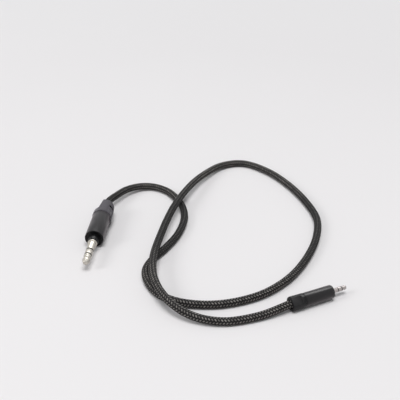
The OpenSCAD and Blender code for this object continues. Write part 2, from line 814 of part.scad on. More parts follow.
// Boot: strain relief with a threaded spigot and one sloping thumb flat
module boot_body() {
    reach = 2 * $boot_r;
    socket_back = clamp_back() - body_gap;
    difference() {
        rotate_extrude()
            polygon(boot_section());
        translate([0, 0, boot_back() - cut])
            cylinder(h = spigot_front() - boot_back() + 2 * cut, r = braid_bore_r());
        translate([0, 0, boot_back() - cut])
            cylinder(h = $mouth_len + cut, r1 = $mouth_r, r2 = braid_bore_r());
        translate([0, 0, socket_back])
            cylinder(h = spigot_front() - socket_back + cut, r = socket_r());
        rotate([0, 0, $flat_turn])
            rotate([90, 0, 0])
                translate([0, 0, -$boot_r])
                    linear_extrude(height = reach)
                        polygon([
                            [$flat_front, collar_front() - $flat_start - $flat_ramp],
                            [reach, collar_front() - $flat_start
                                + (reach - $boot_r) * $flat_ramp / ($boot_r - $flat_front)],
                            [reach, boot_back() - cut],
                            [$flat_rear, boot_back() - cut]
                        ]);
    }
}

// Tongue that reaches over the barrel's side, sloping down to the boot behind the collar
module boot_tongue() {
    under_r = max($barrel_r, $boot_r);
    low_r = under_r + body_gap / 2;
    high_r = under_r + jack_tongue_h;
    front = collar_front() + jack_tongue_reach;
    rotate([0, 0, jack_tongue_turn - jack_tongue_angle / 2])
        rotate_extrude(angle = jack_tongue_angle)
            polygon([
                [$boot_r - 2 * body_gap, collar_front()],
                [low_r, collar_front()],
                [low_r, front],
                [high_r - jack_tongue_h / 3, front],
                [high_r, front - jack_tongue_h],
                [high_r, collar_front() - $flat_start],
                [$boot_r, collar_front() - $tail_start],
                [$boot_r - 2 * body_gap, collar_front() - $tail_start]
            ]);
}

// Slot across the boot behind the tongue, leaning back on its way in
module boot_slot() {
    front = collar_front() - jack_slot_start;
    slope = jack_slot_lean / jack_slot_depth;
    floor_r = $boot_r - jack_slot_depth;
    mouth_r = $boot_r + body_gap;
    floor_front = front - jack_slot_lean;
    mouth_front = front + body_gap * slope;
    rotate([0, 0, jack_slot_turn - jack_slot_angle / 2])
        rotate_extrude(angle = jack_slot_angle)
            polygon([
                [floor_r, floor_front - jack_slot_w],
                [mouth_r, mouth_front - jack_slot_w],
                [mouth_r, mouth_front],
                [floor_r, floor_front]
            ]);
}

// Rubber jacket under the braid, from the clamp's front to the braid's end
module jacket_end() {
    color("dimgray")
        translate([0, 0, braid_front()])
            cylinder(h = jacket_front() - braid_front(), d = jacket_d);
}

// Straight end of the braided cord inside the boot
module cord_end() {
    color("dimgray")
        translate([0, 0, cord_start()])
            cylinder(h = braid_front() - cord_start(), d = cord_d);
}

// Thin wire from a solder tab back to the jacket's front face
module wire(start_x, start_z, exit_x, wire_d, turn) {
    bend = (start_z - jacket_front()) / 4;
    inner_x = start_x - wire_swing * (start_x - exit_x);
    points = [
        [inner_x, 0, start_z + bend],
        [inner_x, 0, start_z],
        [inner_x, 0, start_z - bend],
        [exit_x, 0, jacket_front() + bend],
        [exit_x, 0, jacket_front()],
        [exit_x, 0, jacket_front() - bend]
    ];
    rotate([0, 0, turn])
        swept_tube(smooth_line(points, lead_steps), wire_d / 2, lead_sides,
            [0, 0, -1], [0, 0, -1], [0, 1, 0]);
}

// Insulated lead on the tip's solder lug
module tip_lead() {
    color("firebrick")
        wire($tip_lug_r - $lug_t - lead_d / 2, tip_lug_back() - $tab_len / 2, lead_exit,
            lead_d, -90);
}

// Insulated lead on the ring's solder lug
module ring_lead() {
    color("white")
        wire($ring_lug_r - $lug_t - lead_d / 2, ring_lug_back() - $tab_len / 2, lead_exit,
            lead_d, 90);
}

// Bare shield, twisted together and laid along the ground tang's strip
module shield_tail() {
    color("peru")
        wire(tang_r() - $tang_t - shield_d / 2, tip_lug_back() - $tab_len, shield_exit,
            shield_d, 0);
}

// --- Nodes of the jack plug ---

module jack_tip() jack_plug() tip_contact();
module jack_tip_washer() jack_plug() tip_washer();
module jack_ring() jack_plug() ring_contact();
module jack_ring_washer() jack_plug() ring_washer();
module jack_sleeve() jack_plug() sleeve_contact();
module jack_inner_tube() jack_plug() inner_tube();
module jack_outer_tube() jack_plug() outer_tube();
module jack_nose() jack_plug() nose();
module jack_barrel() jack_plug() barrel();
module jack_ground_tang() jack_plug() ground_tang();
module jack_nut() jack_plug() stem_nut();
module jack_ring_spacer() jack_plug() ring_spacer();
module jack_ring_lug() jack_plug() ring_lug();
module jack_tip_spacer() jack_plug() tip_spacer();
module jack_tip_lug() jack_plug() tip_lug();
module jack_liner() jack_plug() liner();
module jack_clamp() jack_plug() cable_clamp();
module jack_jacket_end() jack_plug() jacket_end();
module jack_cord_end() jack_plug() cord_end();
module jack_tip_lead() jack_plug() tip_lead();
module jack_ring_lead() jack_plug() ring_lead();
module jack_shield_tail() jack_plug() shield_tail();

module jack_boot() {
    color("gray")
        jack_plug()
            difference() {
                union() {
                    boot_body();
                    boot_tongue();
                }
                boot_slot();
            }
}

// --- Nodes of the mini plug ---

module mini_tip() mini_plug() tip_contact();
module mini_tip_washer() mini_plug() tip_washer();
module mini_ring() mini_plug() ring_contact();
module mini_ring_washer() mini_plug() ring_washer();
module mini_sleeve() mini_plug() sleeve_contact();
module mini_inner_tube() mini_plug() inner_tube();
module mini_outer_tube() mini_plug() outer_tube();
module mini_nose() mini_plug() nose();
module mini_barrel() mini_plug() barrel();
module mini_ground_tang() mini_plug() ground_tang();
module mini_nut() mini_plug() stem_nut();
module mini_ring_spacer() mini_plug() ring_spacer();
module mini_ring_lug() mini_plug() ring_lug();
module mini_tip_spacer() mini_plug() tip_spacer();
module mini_tip_lug() mini_plug() tip_lug();
module mini_liner() mini_plug() liner();
module mini_clamp() mini_plug() cable_clamp();
module mini_jacket_end() mini_plug() jacket_end();
module mini_cord_end() mini_plug() cord_end();
module mini_tip_lead() mini_plug() tip_lead();
module mini_ring_lead() mini_plug() ring_lead();
module mini_shield_tail() mini_plug() shield_tail();

module mini_boot() {
    color("dimgray")
        mini_plug()
            boot_body();
}

// --- The free cord between the two boots ---

module cord() {
    jack_back = jack_barrel_len + body_gap + jack_boot_len + cord_straight;
    mini_back = mini_barrel_len + body_gap + mini_boot_len + cord_straight;
    lead_in = 4 * cord_straight;
    jack_way = [-cos(jack_heading), -sin(jack_heading), 0];
    mini_way = [cos(mini_heading), sin(mini_heading), 0];
    points = concat(
        [
            behind(jack_spot, jack_heading, jack_h, jack_back - lead_in),
            behind(jack_spot, jack_heading, jack_h, jack_back)
        ],
        cord_points,
        [
            behind(mini_spot, mini_heading, mini_h, mini_back),
            behind(mini_spot, mini_heading, mini_h, mini_back - lead_in)
        ]
    );
    line = [
        for (p = smooth_line(points, cord_steps))
            [p[0], p[1], max(p[2], cord_d / 2)]
    ];
    color("dimgray")
        swept_tube(line, cord_d / 2, cord_sides, jack_way, mini_way, [0, 0, 1]);
}

jack_tip();
jack_tip_washer();
jack_ring();
jack_ring_washer();
jack_sleeve();
jack_inner_tube();
jack_outer_tube();
jack_nose();
jack_barrel();
jack_ground_tang();
jack_nut();
jack_ring_spacer();
jack_ring_lug();
jack_tip_spacer();
jack_tip_lug();
jack_liner();
jack_clamp();
jack_boot();
jack_jacket_end();
jack_cord_end();
jack_tip_lead();
jack_ring_lead();
jack_shield_tail();
mini_tip();
mini_tip_washer();
mini_ring();
mini_ring_washer();
mini_sleeve();
mini_inner_tube();
mini_outer_tube();
mini_nose();
mini_barrel();
mini_ground_tang();
mini_nut();
mini_ring_spacer();
mini_ring_lug();
mini_tip_spacer();
mini_tip_lug();
mini_liner();
mini_clamp();
mini_boot();
mini_jacket_end();
mini_cord_end();
mini_tip_lead();
mini_ring_lead();
mini_shield_tail();
cord();
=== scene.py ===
"""Instrument cable: a braided cord with a large and a small stereo phone plug."""

import math

import bpy
import numpy as np
from bpy.props import FloatProperty, FloatVectorProperty, IntProperty, PointerProperty
from bpy.types import Operator, Panel, PropertyGroup
from mathutils import Matrix, Vector


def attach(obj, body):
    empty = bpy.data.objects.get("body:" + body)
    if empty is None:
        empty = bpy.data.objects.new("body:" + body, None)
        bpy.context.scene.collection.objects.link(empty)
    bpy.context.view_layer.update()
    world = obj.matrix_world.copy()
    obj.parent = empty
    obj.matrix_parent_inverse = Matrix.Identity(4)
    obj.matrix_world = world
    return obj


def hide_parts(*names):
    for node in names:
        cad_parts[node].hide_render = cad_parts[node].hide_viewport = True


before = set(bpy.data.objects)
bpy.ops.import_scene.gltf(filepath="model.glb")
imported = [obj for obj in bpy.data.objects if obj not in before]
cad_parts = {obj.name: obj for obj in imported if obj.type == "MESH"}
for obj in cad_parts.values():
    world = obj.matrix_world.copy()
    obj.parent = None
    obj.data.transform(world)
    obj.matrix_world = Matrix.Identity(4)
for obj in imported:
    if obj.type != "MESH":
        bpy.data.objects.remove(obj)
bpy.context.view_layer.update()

bl_info = {
    "name": "Instrument Cable",
    "version": (1, 0, 0),
    "blender": (4, 5, 0),
    "location": "View3D > Sidebar > Cable",
    "description": "Builds a braided instrument cable with two phone plugs on its frame",
    "category": "Object",
}

MM = 0.001

# Where each barrel's front plane stands, in millimetres, and the way its tip points, in degrees
JACK_SPOT = (-94.95, 16, 8.2)
JACK_HEADING = -94.7
MINI_SPOT = (90.97, -52.65, 5.65)
MINI_HEADING = 25.85

# Points that the cord passes from the large plug to the small one, in millimetres
CORD_POINTS = (
    (-88.3, 79.5, 8.0), (-83.2, 89.1, 7.4), (-75.0, 102.6, 6.0), (-63.2, 111.5, 4.4),
    (-50.0, 112.3, 3.4), (-37.4, 104.0, 3.2), (-27.8, 88.6, 3.2), (-22.2, 70.5, 3.2),
    (-21.9, 51.6, 3.2), (-26.9, 29.9, 3.2), (-35.8, 10.6, 3.2), (-45.2, -5.3, 3.2),
    (-50.4, -20.9, 3.2), (-47.6, -37.8, 3.2), (-38.2, -53.5, 3.2), (-22.3, -62.8, 3.2),
    (-1.0, -65.8, 3.2), (19.8, -62.0, 3.2), (41.5, -51.3, 3.2), (61.7, -31.7, 3.2),
    (77.7, -5.1, 3.2), (89.0, 24.5, 3.2), (93.6, 54.6, 3.2), (87.9, 83.8, 3.2),
    (75.7, 114.6, 3.2), (58.4, 141.9, 3.2), (36.0, 159.5, 3.2), (13.7, 154.6, 3.8),
    (-4.8, 130.0, 6.4), (-19.0, 99.2, 9.2), (-31.4, 62.1, 10.0), (-40.6, 18.0, 9.8),
    (-44.9, -16.9, 9.8), (-41.6, -45.8, 9.8), (-30.4, -68.7, 8.8), (-12.8, -81.5, 5.0),
    (10.6, -85.4, 3.2), (35.8, -79.0, 3.4),
)


def linear(hex_colour):
    """Turns an sRGB hex colour into the linear RGBA that shaders take."""
    channels = [int(hex_colour[i : i + 2], 16) / 255 for i in (1, 3, 5)]
    return (*[c / 12.92 if c <= 0.04045 else ((c + 0.055) / 1.055) ** 2.4 for c in channels], 1.0)


def length(name, description, millimetres):
    """A size in metres, given in millimetres."""
    return FloatProperty(
        name=name, description=description, default=millimetres * MM,
        unit="LENGTH", precision=5,
    )


def colour(name, description, hex_colour):
    """A colour that the user can change."""
    return FloatVectorProperty(
        name=name, description=description, default=linear(hex_colour), size=4,
        subtype="COLOR", min=0.0, max=1.0,
    )


# Sizes of a plug: key, name, description, and the large and the small plug's in millimetres
PLUG_SIZES = (
    ("shaft_r", "Shaft radius", "Radius of the contacts' shaft", 3.175, 1.75),
    ("shaft_len", "Shaft length", "From the flange's face to the end of the tip", 27.7, 14.0),
    ("tip_len", "Tip length", "Length of the tip contact", 9.5, 4.0),
    ("ring_len", "Ring length", "Length of the ring contact", 5.3, 2.7),
    ("washer_t", "Ring gap", "Thickness of each black insulating ring", 1.5, 0.6),
    ("flange_r", "Flange radius", "Radius of the sleeve's flange", 4.0, 2.6),
    ("flange_t", "Flange thickness", "Thickness of the sleeve's flange", 1.2, 0.8),
    ("stem_r", "Stem radius", "Radius of the sleeve's stem in the nose", 3.4, 2.1),
    ("barrel_r", "Barrel radius", "Outer radius of the barrel", 7.8, 5.3),
    ("barrel_len", "Barrel length", "Length of the barrel", 33.0, 24.75),
    ("bore_r", "Bore radius", "Inner radius of the barrel", 6.6, 4.5),
    ("front_wall", "Front wall", "Thickness of the barrel's inner front wall", 2.0, 1.2),
    ("rim", "Rim", "Width of the rim around the nose", 0.8, 1.2),
    ("front_round", "Front radius", "Radius of the barrel's front edge", 0.6, 1.1),
    ("nose_t", "Nose thickness", "Thickness of the nose's disc", 2.1, 3.6),
    ("nose_recess", "Nose recess", "Depth of the nose's face behind the rim", 0.4, 2.4),
    ("nose_dish", "Nose dish", "Depth of the dish in the nose's face", 0.4, 0.2),
    ("boss_r", "Boss radius", "Radius of the nose's boss", 4.4, 3.0),
    ("boss_len", "Boss length", "Length of the boss in front of the barrel", 6.5, -2.2),
    ("boot_r", "Boot radius", "Radius of the boot at its collar", 8.2, 5.5),
    ("boot_len", "Boot length", "Length of the boot behind the barrel", 20.0, 11.25),
    ("tail_start", "Tail start", "From the collar's face to the tail", 12.25, 3.75),
    ("tail_r", "Tail radius", "Radius of the boot's rear end", 7.7, 5.65),
    ("tail_round", "Tail rounding", "Radius of the boot's rear edge", 2.0, 0.8),
    ("flat_start", "Flat start", "From the collar's face to the thumb flat", 4.5, 2.6),
    ("flat_ramp", "Flat ramp", "Length of the slope down to the thumb flat", 0.6, 0.6),
    ("flat_front", "Flat front", "Distance of the flat from the axis at its front", 6.5, 4.3),
    ("flat_rear", "Flat rear", "Distance of the flat from the axis at its rear", 4.7, 4.7),
    ("mouth_r", "Mouth radius", "Radius of the boot's mouth", 4.2, 3.7),
    ("mouth_len", "Mouth length", "Length of the flared mouth", 5.5, 1.5),
    ("pitch", "Thread pitch", "Pitch of the boot's thread", 1.0, 0.75),
    ("spigot_len", "Spigot length", "Length of the threaded spigot", 3.6, 3.0),
    ("spigot_wall", "Spigot wall", "Wall of the threaded spigot", 1.1, 0.7),
    ("clamp_len", "Clamp length", "From the clamp's flange to the ends of its fingers", 5.0, 2.8),
)


class JackSizes(PropertyGroup):
    """Sizes of the large plug."""

    __annotations__ = {key: length(name, text, large) for key, name, text, large, _ in PLUG_SIZES}


class MiniSizes(PropertyGroup):
    """Sizes of the small plug."""

    __annotations__ = {key: length(name, text, small) for key, name, text, _, small in PLUG_SIZES}


class CordSizes(PropertyGroup):
    """Sizes and colours of the braided cord."""

    radius: length("Cord radius", "Outer radius of the braid", 3.15)
    crown: length("Crown height", "Height of a yarn bundle where it passes over another", 0.16)
    pick: length("Pick", "Length of cord from one float of yarn to the next in its row", 2.3)
    carriers: IntProperty(
        name="Bundles", description="Yarn bundles that wind each way round the cord",
        default=8, min=4, max=16,
    )
    yarn: colour("Yarn", "Colour of the black yarn", "#100F10")
    # The crowns' colour is a painted highlight, mixed into the yarn where light would catch each
    # crown
    crown_highlight: colour("Yarn crown", "Colour of the yarn where light catches its crowns", "#86827E")


class Finishes(PropertyGroup):
    """Colours of the plugs' finishes."""

    nickel: colour("Large contacts", "Bright nickel of the large plug's contacts", "#C6C1B8")
    mini_nickel: colour("Small contacts", "Duller nickel of the small plug's contacts", "#B2ABA9")
    gloss_black: colour("Nose", "Gloss black insulating nose and rings", "#0C0C0D")
    barrel: colour("Large barrel", "Satin black of the large barrel", "#070608")
    mini_barrel: colour("Small barrel", "Satin black of the small barrel", "#050405")
    boot: colour("Large boot", "Moulded plastic of the large plug's boot", "#4C494F")
    mini_boot: colour("Small boot", "Moulded plastic of the small plug's boot", "#181718")


def lamp_power(name, description, watts):
    """The power of a lamp."""
    return FloatProperty(
        name=name, description=description, default=watts, min=0.0, unit="POWER",
    )


class StageSettings(PropertyGroup):
    """The floor's colour and the strength of the lights."""

    floor: colour("Floor", "Colour of the studio floor", "#ECEAEB")
    back_power: lamp_power("Back panel", "Power of the wide panel mirrored from high behind", 46.0)
    top_power: lamp_power("Top lamp", "Power of the broad lamp overhead", 66.0)
    front_power: lamp_power("Front lamp", "Power of the lamp in front on the left", 22.0)
    room_light: FloatProperty(
        name="Room light", description="Strength of the light from all round",
        default=0.39, min=0.0,
    )


# --- Modelling helpers ---

# Sides of the shafts' and noses' rings, and of the barrels' and boots'
SIDES = 96
BODY_SIDES = 128
# Steeper edges than this stay sharp in the shading, in degrees
SMOOTH_ANGLE = 38
# Steps of a rounded edge, in degrees
ROUND_STEP = 15
# Points closer than this are one, in metres
WELD = 0.000001


def deselect_all():
    """Nothing selected, in object mode."""
    if bpy.context.object and bpy.context.object.mode != "OBJECT":
        bpy.ops.object.mode_set(mode="OBJECT")
    bpy.ops.object.select_all(action="DESELECT")


def select_only(piece):
    """Makes a piece the one selected, active object."""
    deselect_all()
    piece.select_set(True)
    bpy.context.view_layer.objects.active = piece


def apply_modifier(piece, kind, **settings):
    """Adds a modifier with its settings and applies it."""
    select_only(piece)
    modifier = piece.modifiers.new(kind.title(), kind)
    for key, value in settings.items():
        setattr(modifier, key, value)
    bpy.ops.object.modifier_apply(modifier=modifier.name)


def apply_place():
    """Puts the active piece's place, turn and scale into its mesh."""
    bpy.ops.object.transform_apply(location=True, rotation=True, scale=True)


def face_outwards():
    """Turns all faces of the piece in edit mode outwards, and leaves edit mode."""
    bpy.ops.mesh.select_all(action="SELECT")
    bpy.ops.mesh.normals_make_consistent(inside=False)
    bpy.ops.object.mode_set(mode="OBJECT")


def turned(name, steps, sides=SIDES):
    """Turns an open or closed outline of (height, radius) steps about Z, ring by ring.

    An outline whose last step is its first makes a ring-shaped piece; any other is capped.
    """
    ring_shaped = steps[0] == steps[-1]
    deselect_all()
    height, radius = steps[0]
    bpy.ops.mesh.primitive_circle_add(
        vertices=sides, radius=radius, location=(0, 0, height),
        fill_type="NOTHING" if ring_shaped else "NGON",
    )
    piece = bpy.context.object
    piece.name = piece.data.name = name
    bpy.ops.object.mode_set(mode="EDIT")
    bpy.ops.mesh.select_all(action="SELECT")
    for (z0, r0), (z1, r1) in zip(steps, steps[1:]):
        bpy.ops.mesh.extrude_region_move(TRANSFORM_OT_translate={"value": (0, 0, z1 - z0)})
        if r1 != r0:
            bpy.ops.transform.resize(value=(r1 / r0, r1 / r0, 1), center_override=(0, 0, z1))
    bpy.ops.mesh.select_all(action="SELECT")
    bpy.ops.mesh.remove_doubles(threshold=WELD)
    face_outwards()
    apply_place()
    return piece


def soften(piece, width, segments=2, angle=30):
    """Rounds a piece's sharp edges and shades it smooth between them."""
    apply_modifier(
        piece, "BEVEL", width=width, segments=segments, limit_method="ANGLE",
        angle_limit=math.radians(angle), use_clamp_overlap=True,
    )
    select_only(piece)
    bpy.ops.object.shade_smooth_by_angle(angle=math.radians(SMOOTH_ANGLE))


def rounded(end, radius, size, inward, angles):
    """Steps of a rounded outer edge, inward from an end face, through angles in degrees."""
    return [
        (end + inward * size * (1 - math.sin(a)), radius - size * (1 - math.cos(a)))
        for a in map(math.radians, angles)
    ]


def plug_matrix(spot, heading):
    """Places a plug drawn along +Z, tip up, on the floor."""
    return (
        Matrix.Translation(Vector(spot) * MM)
        @ Matrix.Rotation(math.radians(heading), 4, "Z")
        @ Matrix.Rotation(math.radians(90), 4, "Y")
    )


def lay_down(piece, matrix):
    """Moves a piece drawn along Z to its plug's place, in its mesh."""
    select_only(piece)
    piece.matrix_world = matrix
    apply_place()


def settle(piece, matrix, node, material, body="cable"):
    """Places a finished piece, gives it its material, ties it to its body and hides the CAD part
    of its node.
    """
    if matrix is not None:
        lay_down(piece, matrix)
    piece.data.materials.clear()
    piece.data.materials.append(material)
    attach(piece, body)
    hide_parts(node)


def plugs(scene):
    """The two plugs: name, sizes, matrix."""
    return (
        ("jack", scene.jack_sizes, plug_matrix(JACK_SPOT, JACK_HEADING)),
        ("mini", scene.mini_sizes, plug_matrix(MINI_SPOT, MINI_HEADING)),
    )


# --- Materials ---

# Light bends less in a thin lacquer or a filled plastic than in clear plastic
LACQUER_IOR = 1.34
# The hard black phenolic mirrors less than the lacquer does
PHENOLIC_SPECULAR = 0.35
# A coat of wax on the lacquer, thinner still
WAX_IOR = 1.18
WAX_ROUGHNESS = 0.2
# Handling dust on the lacquer: how broadly it glows at a low angle, and in which colour
DUST_ROUGHNESS = 0.45
DUST_COLOUR = "#FFF0F8"
# How much dust and wax each barrel carries, of a full layer
BARREL_DUST = {"jack": 0.13, "mini": 0.26}
BARREL_WAX = {"jack": 0.0, "mini": 1.0}
# Half width of the step from the boot's pebbled mould to its polished collar, partly painted shade
# on the small boot
COLLAR_BLEND = 0.2 * MM
# Bundles that each float of yarn passes over, and then under
OVER = 2
# Filaments side by side in a bundle
FILAMENTS = 3
# A mesh of thin fibres shadows itself, so black yarn reflects less than a smooth plastic
YARN_SPECULAR = 0.2
# The painted crown highlight is dimmed across the middle of the lay, where the strands run in
# depth and would catch no light: the middle's Y, half the width, half the blend at each edge and
# how far the edges wander, in metres
HIGHLIGHT_DIM_MIDDLE = 0.035
HIGHLIGHT_DIM_HALF = 0.06
HIGHLIGHT_DIM_BLEND = 0.02
HIGHLIGHT_DIM_DRIFT = 0.06
# Shares of the painted crown highlight in the dim stretch and out of it, and from the dimmest
# float of yarn to the brightest
DIM_STRETCH_HIGHLIGHT, FULL_STRETCH_HIGHLIGHT = 0.35, 1.25
DIM_FLOAT, BRIGHT_FLOAT = 0.5, 1.4


def lumps(millimetres):
    """Scale of a pattern whose lumps are so wide."""
    return 1 / (millimetres * MM)


def bands(millimetres):
    """Scale of a wave pattern whose bands lie so far apart: its own are a tenth of pi apart."""
    return math.pi / 10 / (millimetres * MM)


def shaded(tint, share):
    """A colour made darker or lighter by a share."""
    return [c * share for c in tint[:3]] + [1.0]


def set_inputs(tree, node, inputs):
    """Links or sets a node's inputs."""
    for key, value in inputs.items():
        if isinstance(value, bpy.types.NodeSocket):
            tree.links.new(value, node.inputs[key])
        else:
            node.inputs[key].default_value = value


def add_node(tree, kind, inputs=None, **settings):
    """Adds one shader node with its settings, and links or sets its inputs."""
    node = tree.nodes.new(kind)
    for key, value in settings.items():
        setattr(node, key, value)
    set_inputs(tree, node, inputs or {})
    return node


def directly_seen(tree):
    """One on rays from the camera, a mirror or a clear piece, and none on rays that only light."""
    path = add_node(tree, "ShaderNodeLightPath")
    seen = path.outputs["Is Camera Ray"]
    for kind in ("Is Glossy Ray", "Is Transmission Ray"):
        either = add_node(
            tree, "ShaderNodeMath", {0: seen, 1: path.outputs[kind]}, operation="MAXIMUM",
        )
        seen = either.outputs[0]
    return seen


def new_material(name):
    """An empty node material, its tree and its surface shader."""
    material = bpy.data.materials.new(name)
    material.use_nodes = True
    tree = material.node_tree
    tree.nodes.clear()
    shader = add_node(tree, "ShaderNodeBsdfPrincipled")
    add_node(tree, "ShaderNodeOutputMaterial", {"Surface": shader.outputs[0]})
    return material, tree, shader


def lay_finish(tree, shader, pattern, tints, relief, strength, depth, looks):
    """Finishes a surface: a pattern of two tints, a fine relief, its depth, and other looks."""
    shade = add_node(
        tree, "ShaderNodeMix", {"Factor": pattern, "A": tints[0], "B": tints[1]},
        data_type="RGBA",
    )
    bump = add_node(
        tree, "ShaderNodeBump", {"Height": relief, "Strength": strength, "Distance": depth},
    )
    looks = {"Base Color": shade.outputs["Result"], "Normal": bump.outputs[0], **looks}
    set_inputs(tree, shader, looks)


def plug_space(tree, matrix):
    """Coordinates along and round a plug's axis, in metres."""
    place = add_node(tree, "ShaderNodeTexCoord")
    return add_node(
        tree, "ShaderNodeMapping",
        {
            "Vector": place.outputs["Object"],
            "Location": matrix.to_translation(),
            "Rotation": matrix.to_euler(),
        },
        vector_type="TEXTURE",
    ).outputs[0]


def nickel_plate(matrix, tint):
    """Turned brass, nickel plated: bright, with soft streaks, faint turning marks, dull patches.

    Real marks from the lathe are finer, and are drawn 0.2 mm apart so that they show.
    """
    material, tree, shader = new_material("polished_nickel")
    space = plug_space(tree, matrix)
    marks = add_node(
        tree, "ShaderNodeTexWave", {"Vector": space, "Scale": bands(0.1963), "Distortion": 0.4},
        wave_type="BANDS", bands_direction="Z",
    )
    patches = add_node(
        tree, "ShaderNodeTexNoise", {"Vector": space, "Scale": lumps(2.222), "Detail": 3.0},
    ).outputs["Fac"]
    dull = add_node(
        tree, "ShaderNodeMapRange",
        {"Value": patches, "From Min": 0.35, "From Max": 0.75, "To Min": 0.34, "To Max": 0.48},
    )
    lay_finish(
        tree, shader, patches, (tint, shaded(tint, 0.86)), marks.outputs["Fac"], 0.12, 0.02 * MM,
        {"Metallic": 1.0, "Roughness": dull.outputs[0]},
    )
    return material


def gloss_plastic(matrix, tint):
    """Moulded phenolic, gloss: near black with a clear reflection and slight mould ripple."""
    material, tree, shader = new_material("gloss_phenolic")
    ripple = add_node(
        tree, "ShaderNodeTexNoise",
        {"Vector": plug_space(tree, matrix), "Scale": lumps(1.429), "Detail": 2.0},
    ).outputs["Fac"]
    lay_finish(
        tree, shader, ripple, (tint, shaded(tint, 1.8)), ripple, 0.1, 0.05 * MM,
        {"Roughness": 0.3, "IOR": LACQUER_IOR, "Specular IOR Level": PHENOLIC_SPECULAR},
    )
    return material


def satin_black(matrix, tint, dust, wax):
    """Brass tube, blasted and lacquered black: satin, with a fine grit and faint rubbed rings.

    Real grit is finer, and is drawn 0.2 mm wide so that it shows.
    """
    material, tree, shader = new_material("satin_black_lacquer")
    space = plug_space(tree, matrix)
    grit = add_node(
        tree, "ShaderNodeTexNoise", {"Vector": space, "Scale": lumps(0.1923), "Detail": 2.0},
    )
    rings = add_node(
        tree, "ShaderNodeTexWave",
        {"Vector": space, "Scale": bands(0.604), "Distortion": 2.5, "Detail": 2.0},
        wave_type="BANDS", bands_direction="Z",
    )
    cloud = add_node(
        tree, "ShaderNodeTexNoise", {"Vector": space, "Scale": lumps(6.25), "Detail": 4.0},
    )
    worn = add_node(
        tree, "ShaderNodeMapRange",
        {"Value": cloud.outputs["Fac"], "From Min": 0.3, "From Max": 0.7,
         "To Min": 0.28, "To Max": 0.40},
    )
    looks = {
        "Roughness": worn.outputs[0], "IOR": LACQUER_IOR,
        "Coat Weight": wax, "Coat IOR": WAX_IOR, "Coat Roughness": WAX_ROUGHNESS,
        "Sheen Weight": dust, "Sheen Roughness": DUST_ROUGHNESS,
        "Sheen Tint": linear(DUST_COLOUR),
    }
    lay_finish(
        tree, shader, rings.outputs["Fac"], (tint, shaded(tint, 1.25)),
        grit.outputs["Fac"], 0.25, 0.04 * MM, looks,
    )
    return material


def moulded_plastic(name, matrix, tint, collar_tint, collar_back):
    """Glass-filled nylon, spark-eroded mould finish: even, dull, finely pebbled.

    In front of collar_back, a distance along the plug's axis, the mould is polished instead and
    takes collar_tint; on the small boot that tint is darker, partly a painted shade of the step
    and gap behind the barrel.
    Real pebbles are finer, and are drawn a quarter of a millimetre wide so that they show.
    """
    material, tree, shader = new_material(name)
    space = plug_space(tree, matrix)
    pebble = add_node(
        tree, "ShaderNodeTexVoronoi", {"Vector": space, "Scale": lumps(0.2381)},
        feature="SMOOTH_F1",
    )
    cloud = add_node(
        tree, "ShaderNodeTexNoise", {"Vector": space, "Scale": lumps(4.545), "Detail": 3.0},
    )
    shade = add_node(
        tree, "ShaderNodeMix",
        {"Factor": cloud.outputs["Fac"], "A": shaded(tint, 0.88), "B": shaded(tint, 1.12)},
        data_type="RGBA",
    )
    ahead = add_node(tree, "ShaderNodeSeparateXYZ", {0: space}).outputs[2]
    collar_polish_and_shade = add_node(
        tree, "ShaderNodeMapRange",
        {"Value": ahead, "From Min": collar_back - COLLAR_BLEND,
         "From Max": collar_back + COLLAR_BLEND},
    ).outputs[0]
    gloss = add_node(
        tree, "ShaderNodeMapRange", {"Value": collar_polish_and_shade, "To Min": 0.5, "To Max": 0.28},
    )
    lay_finish(
        tree, shader, collar_polish_and_shade, (shade.outputs["Result"], collar_tint),
        pebble.outputs["Distance"], 0.3, 0.05 * MM,
        {"Roughness": gloss.outputs[0], "IOR": LACQUER_IOR},
    )
    return material


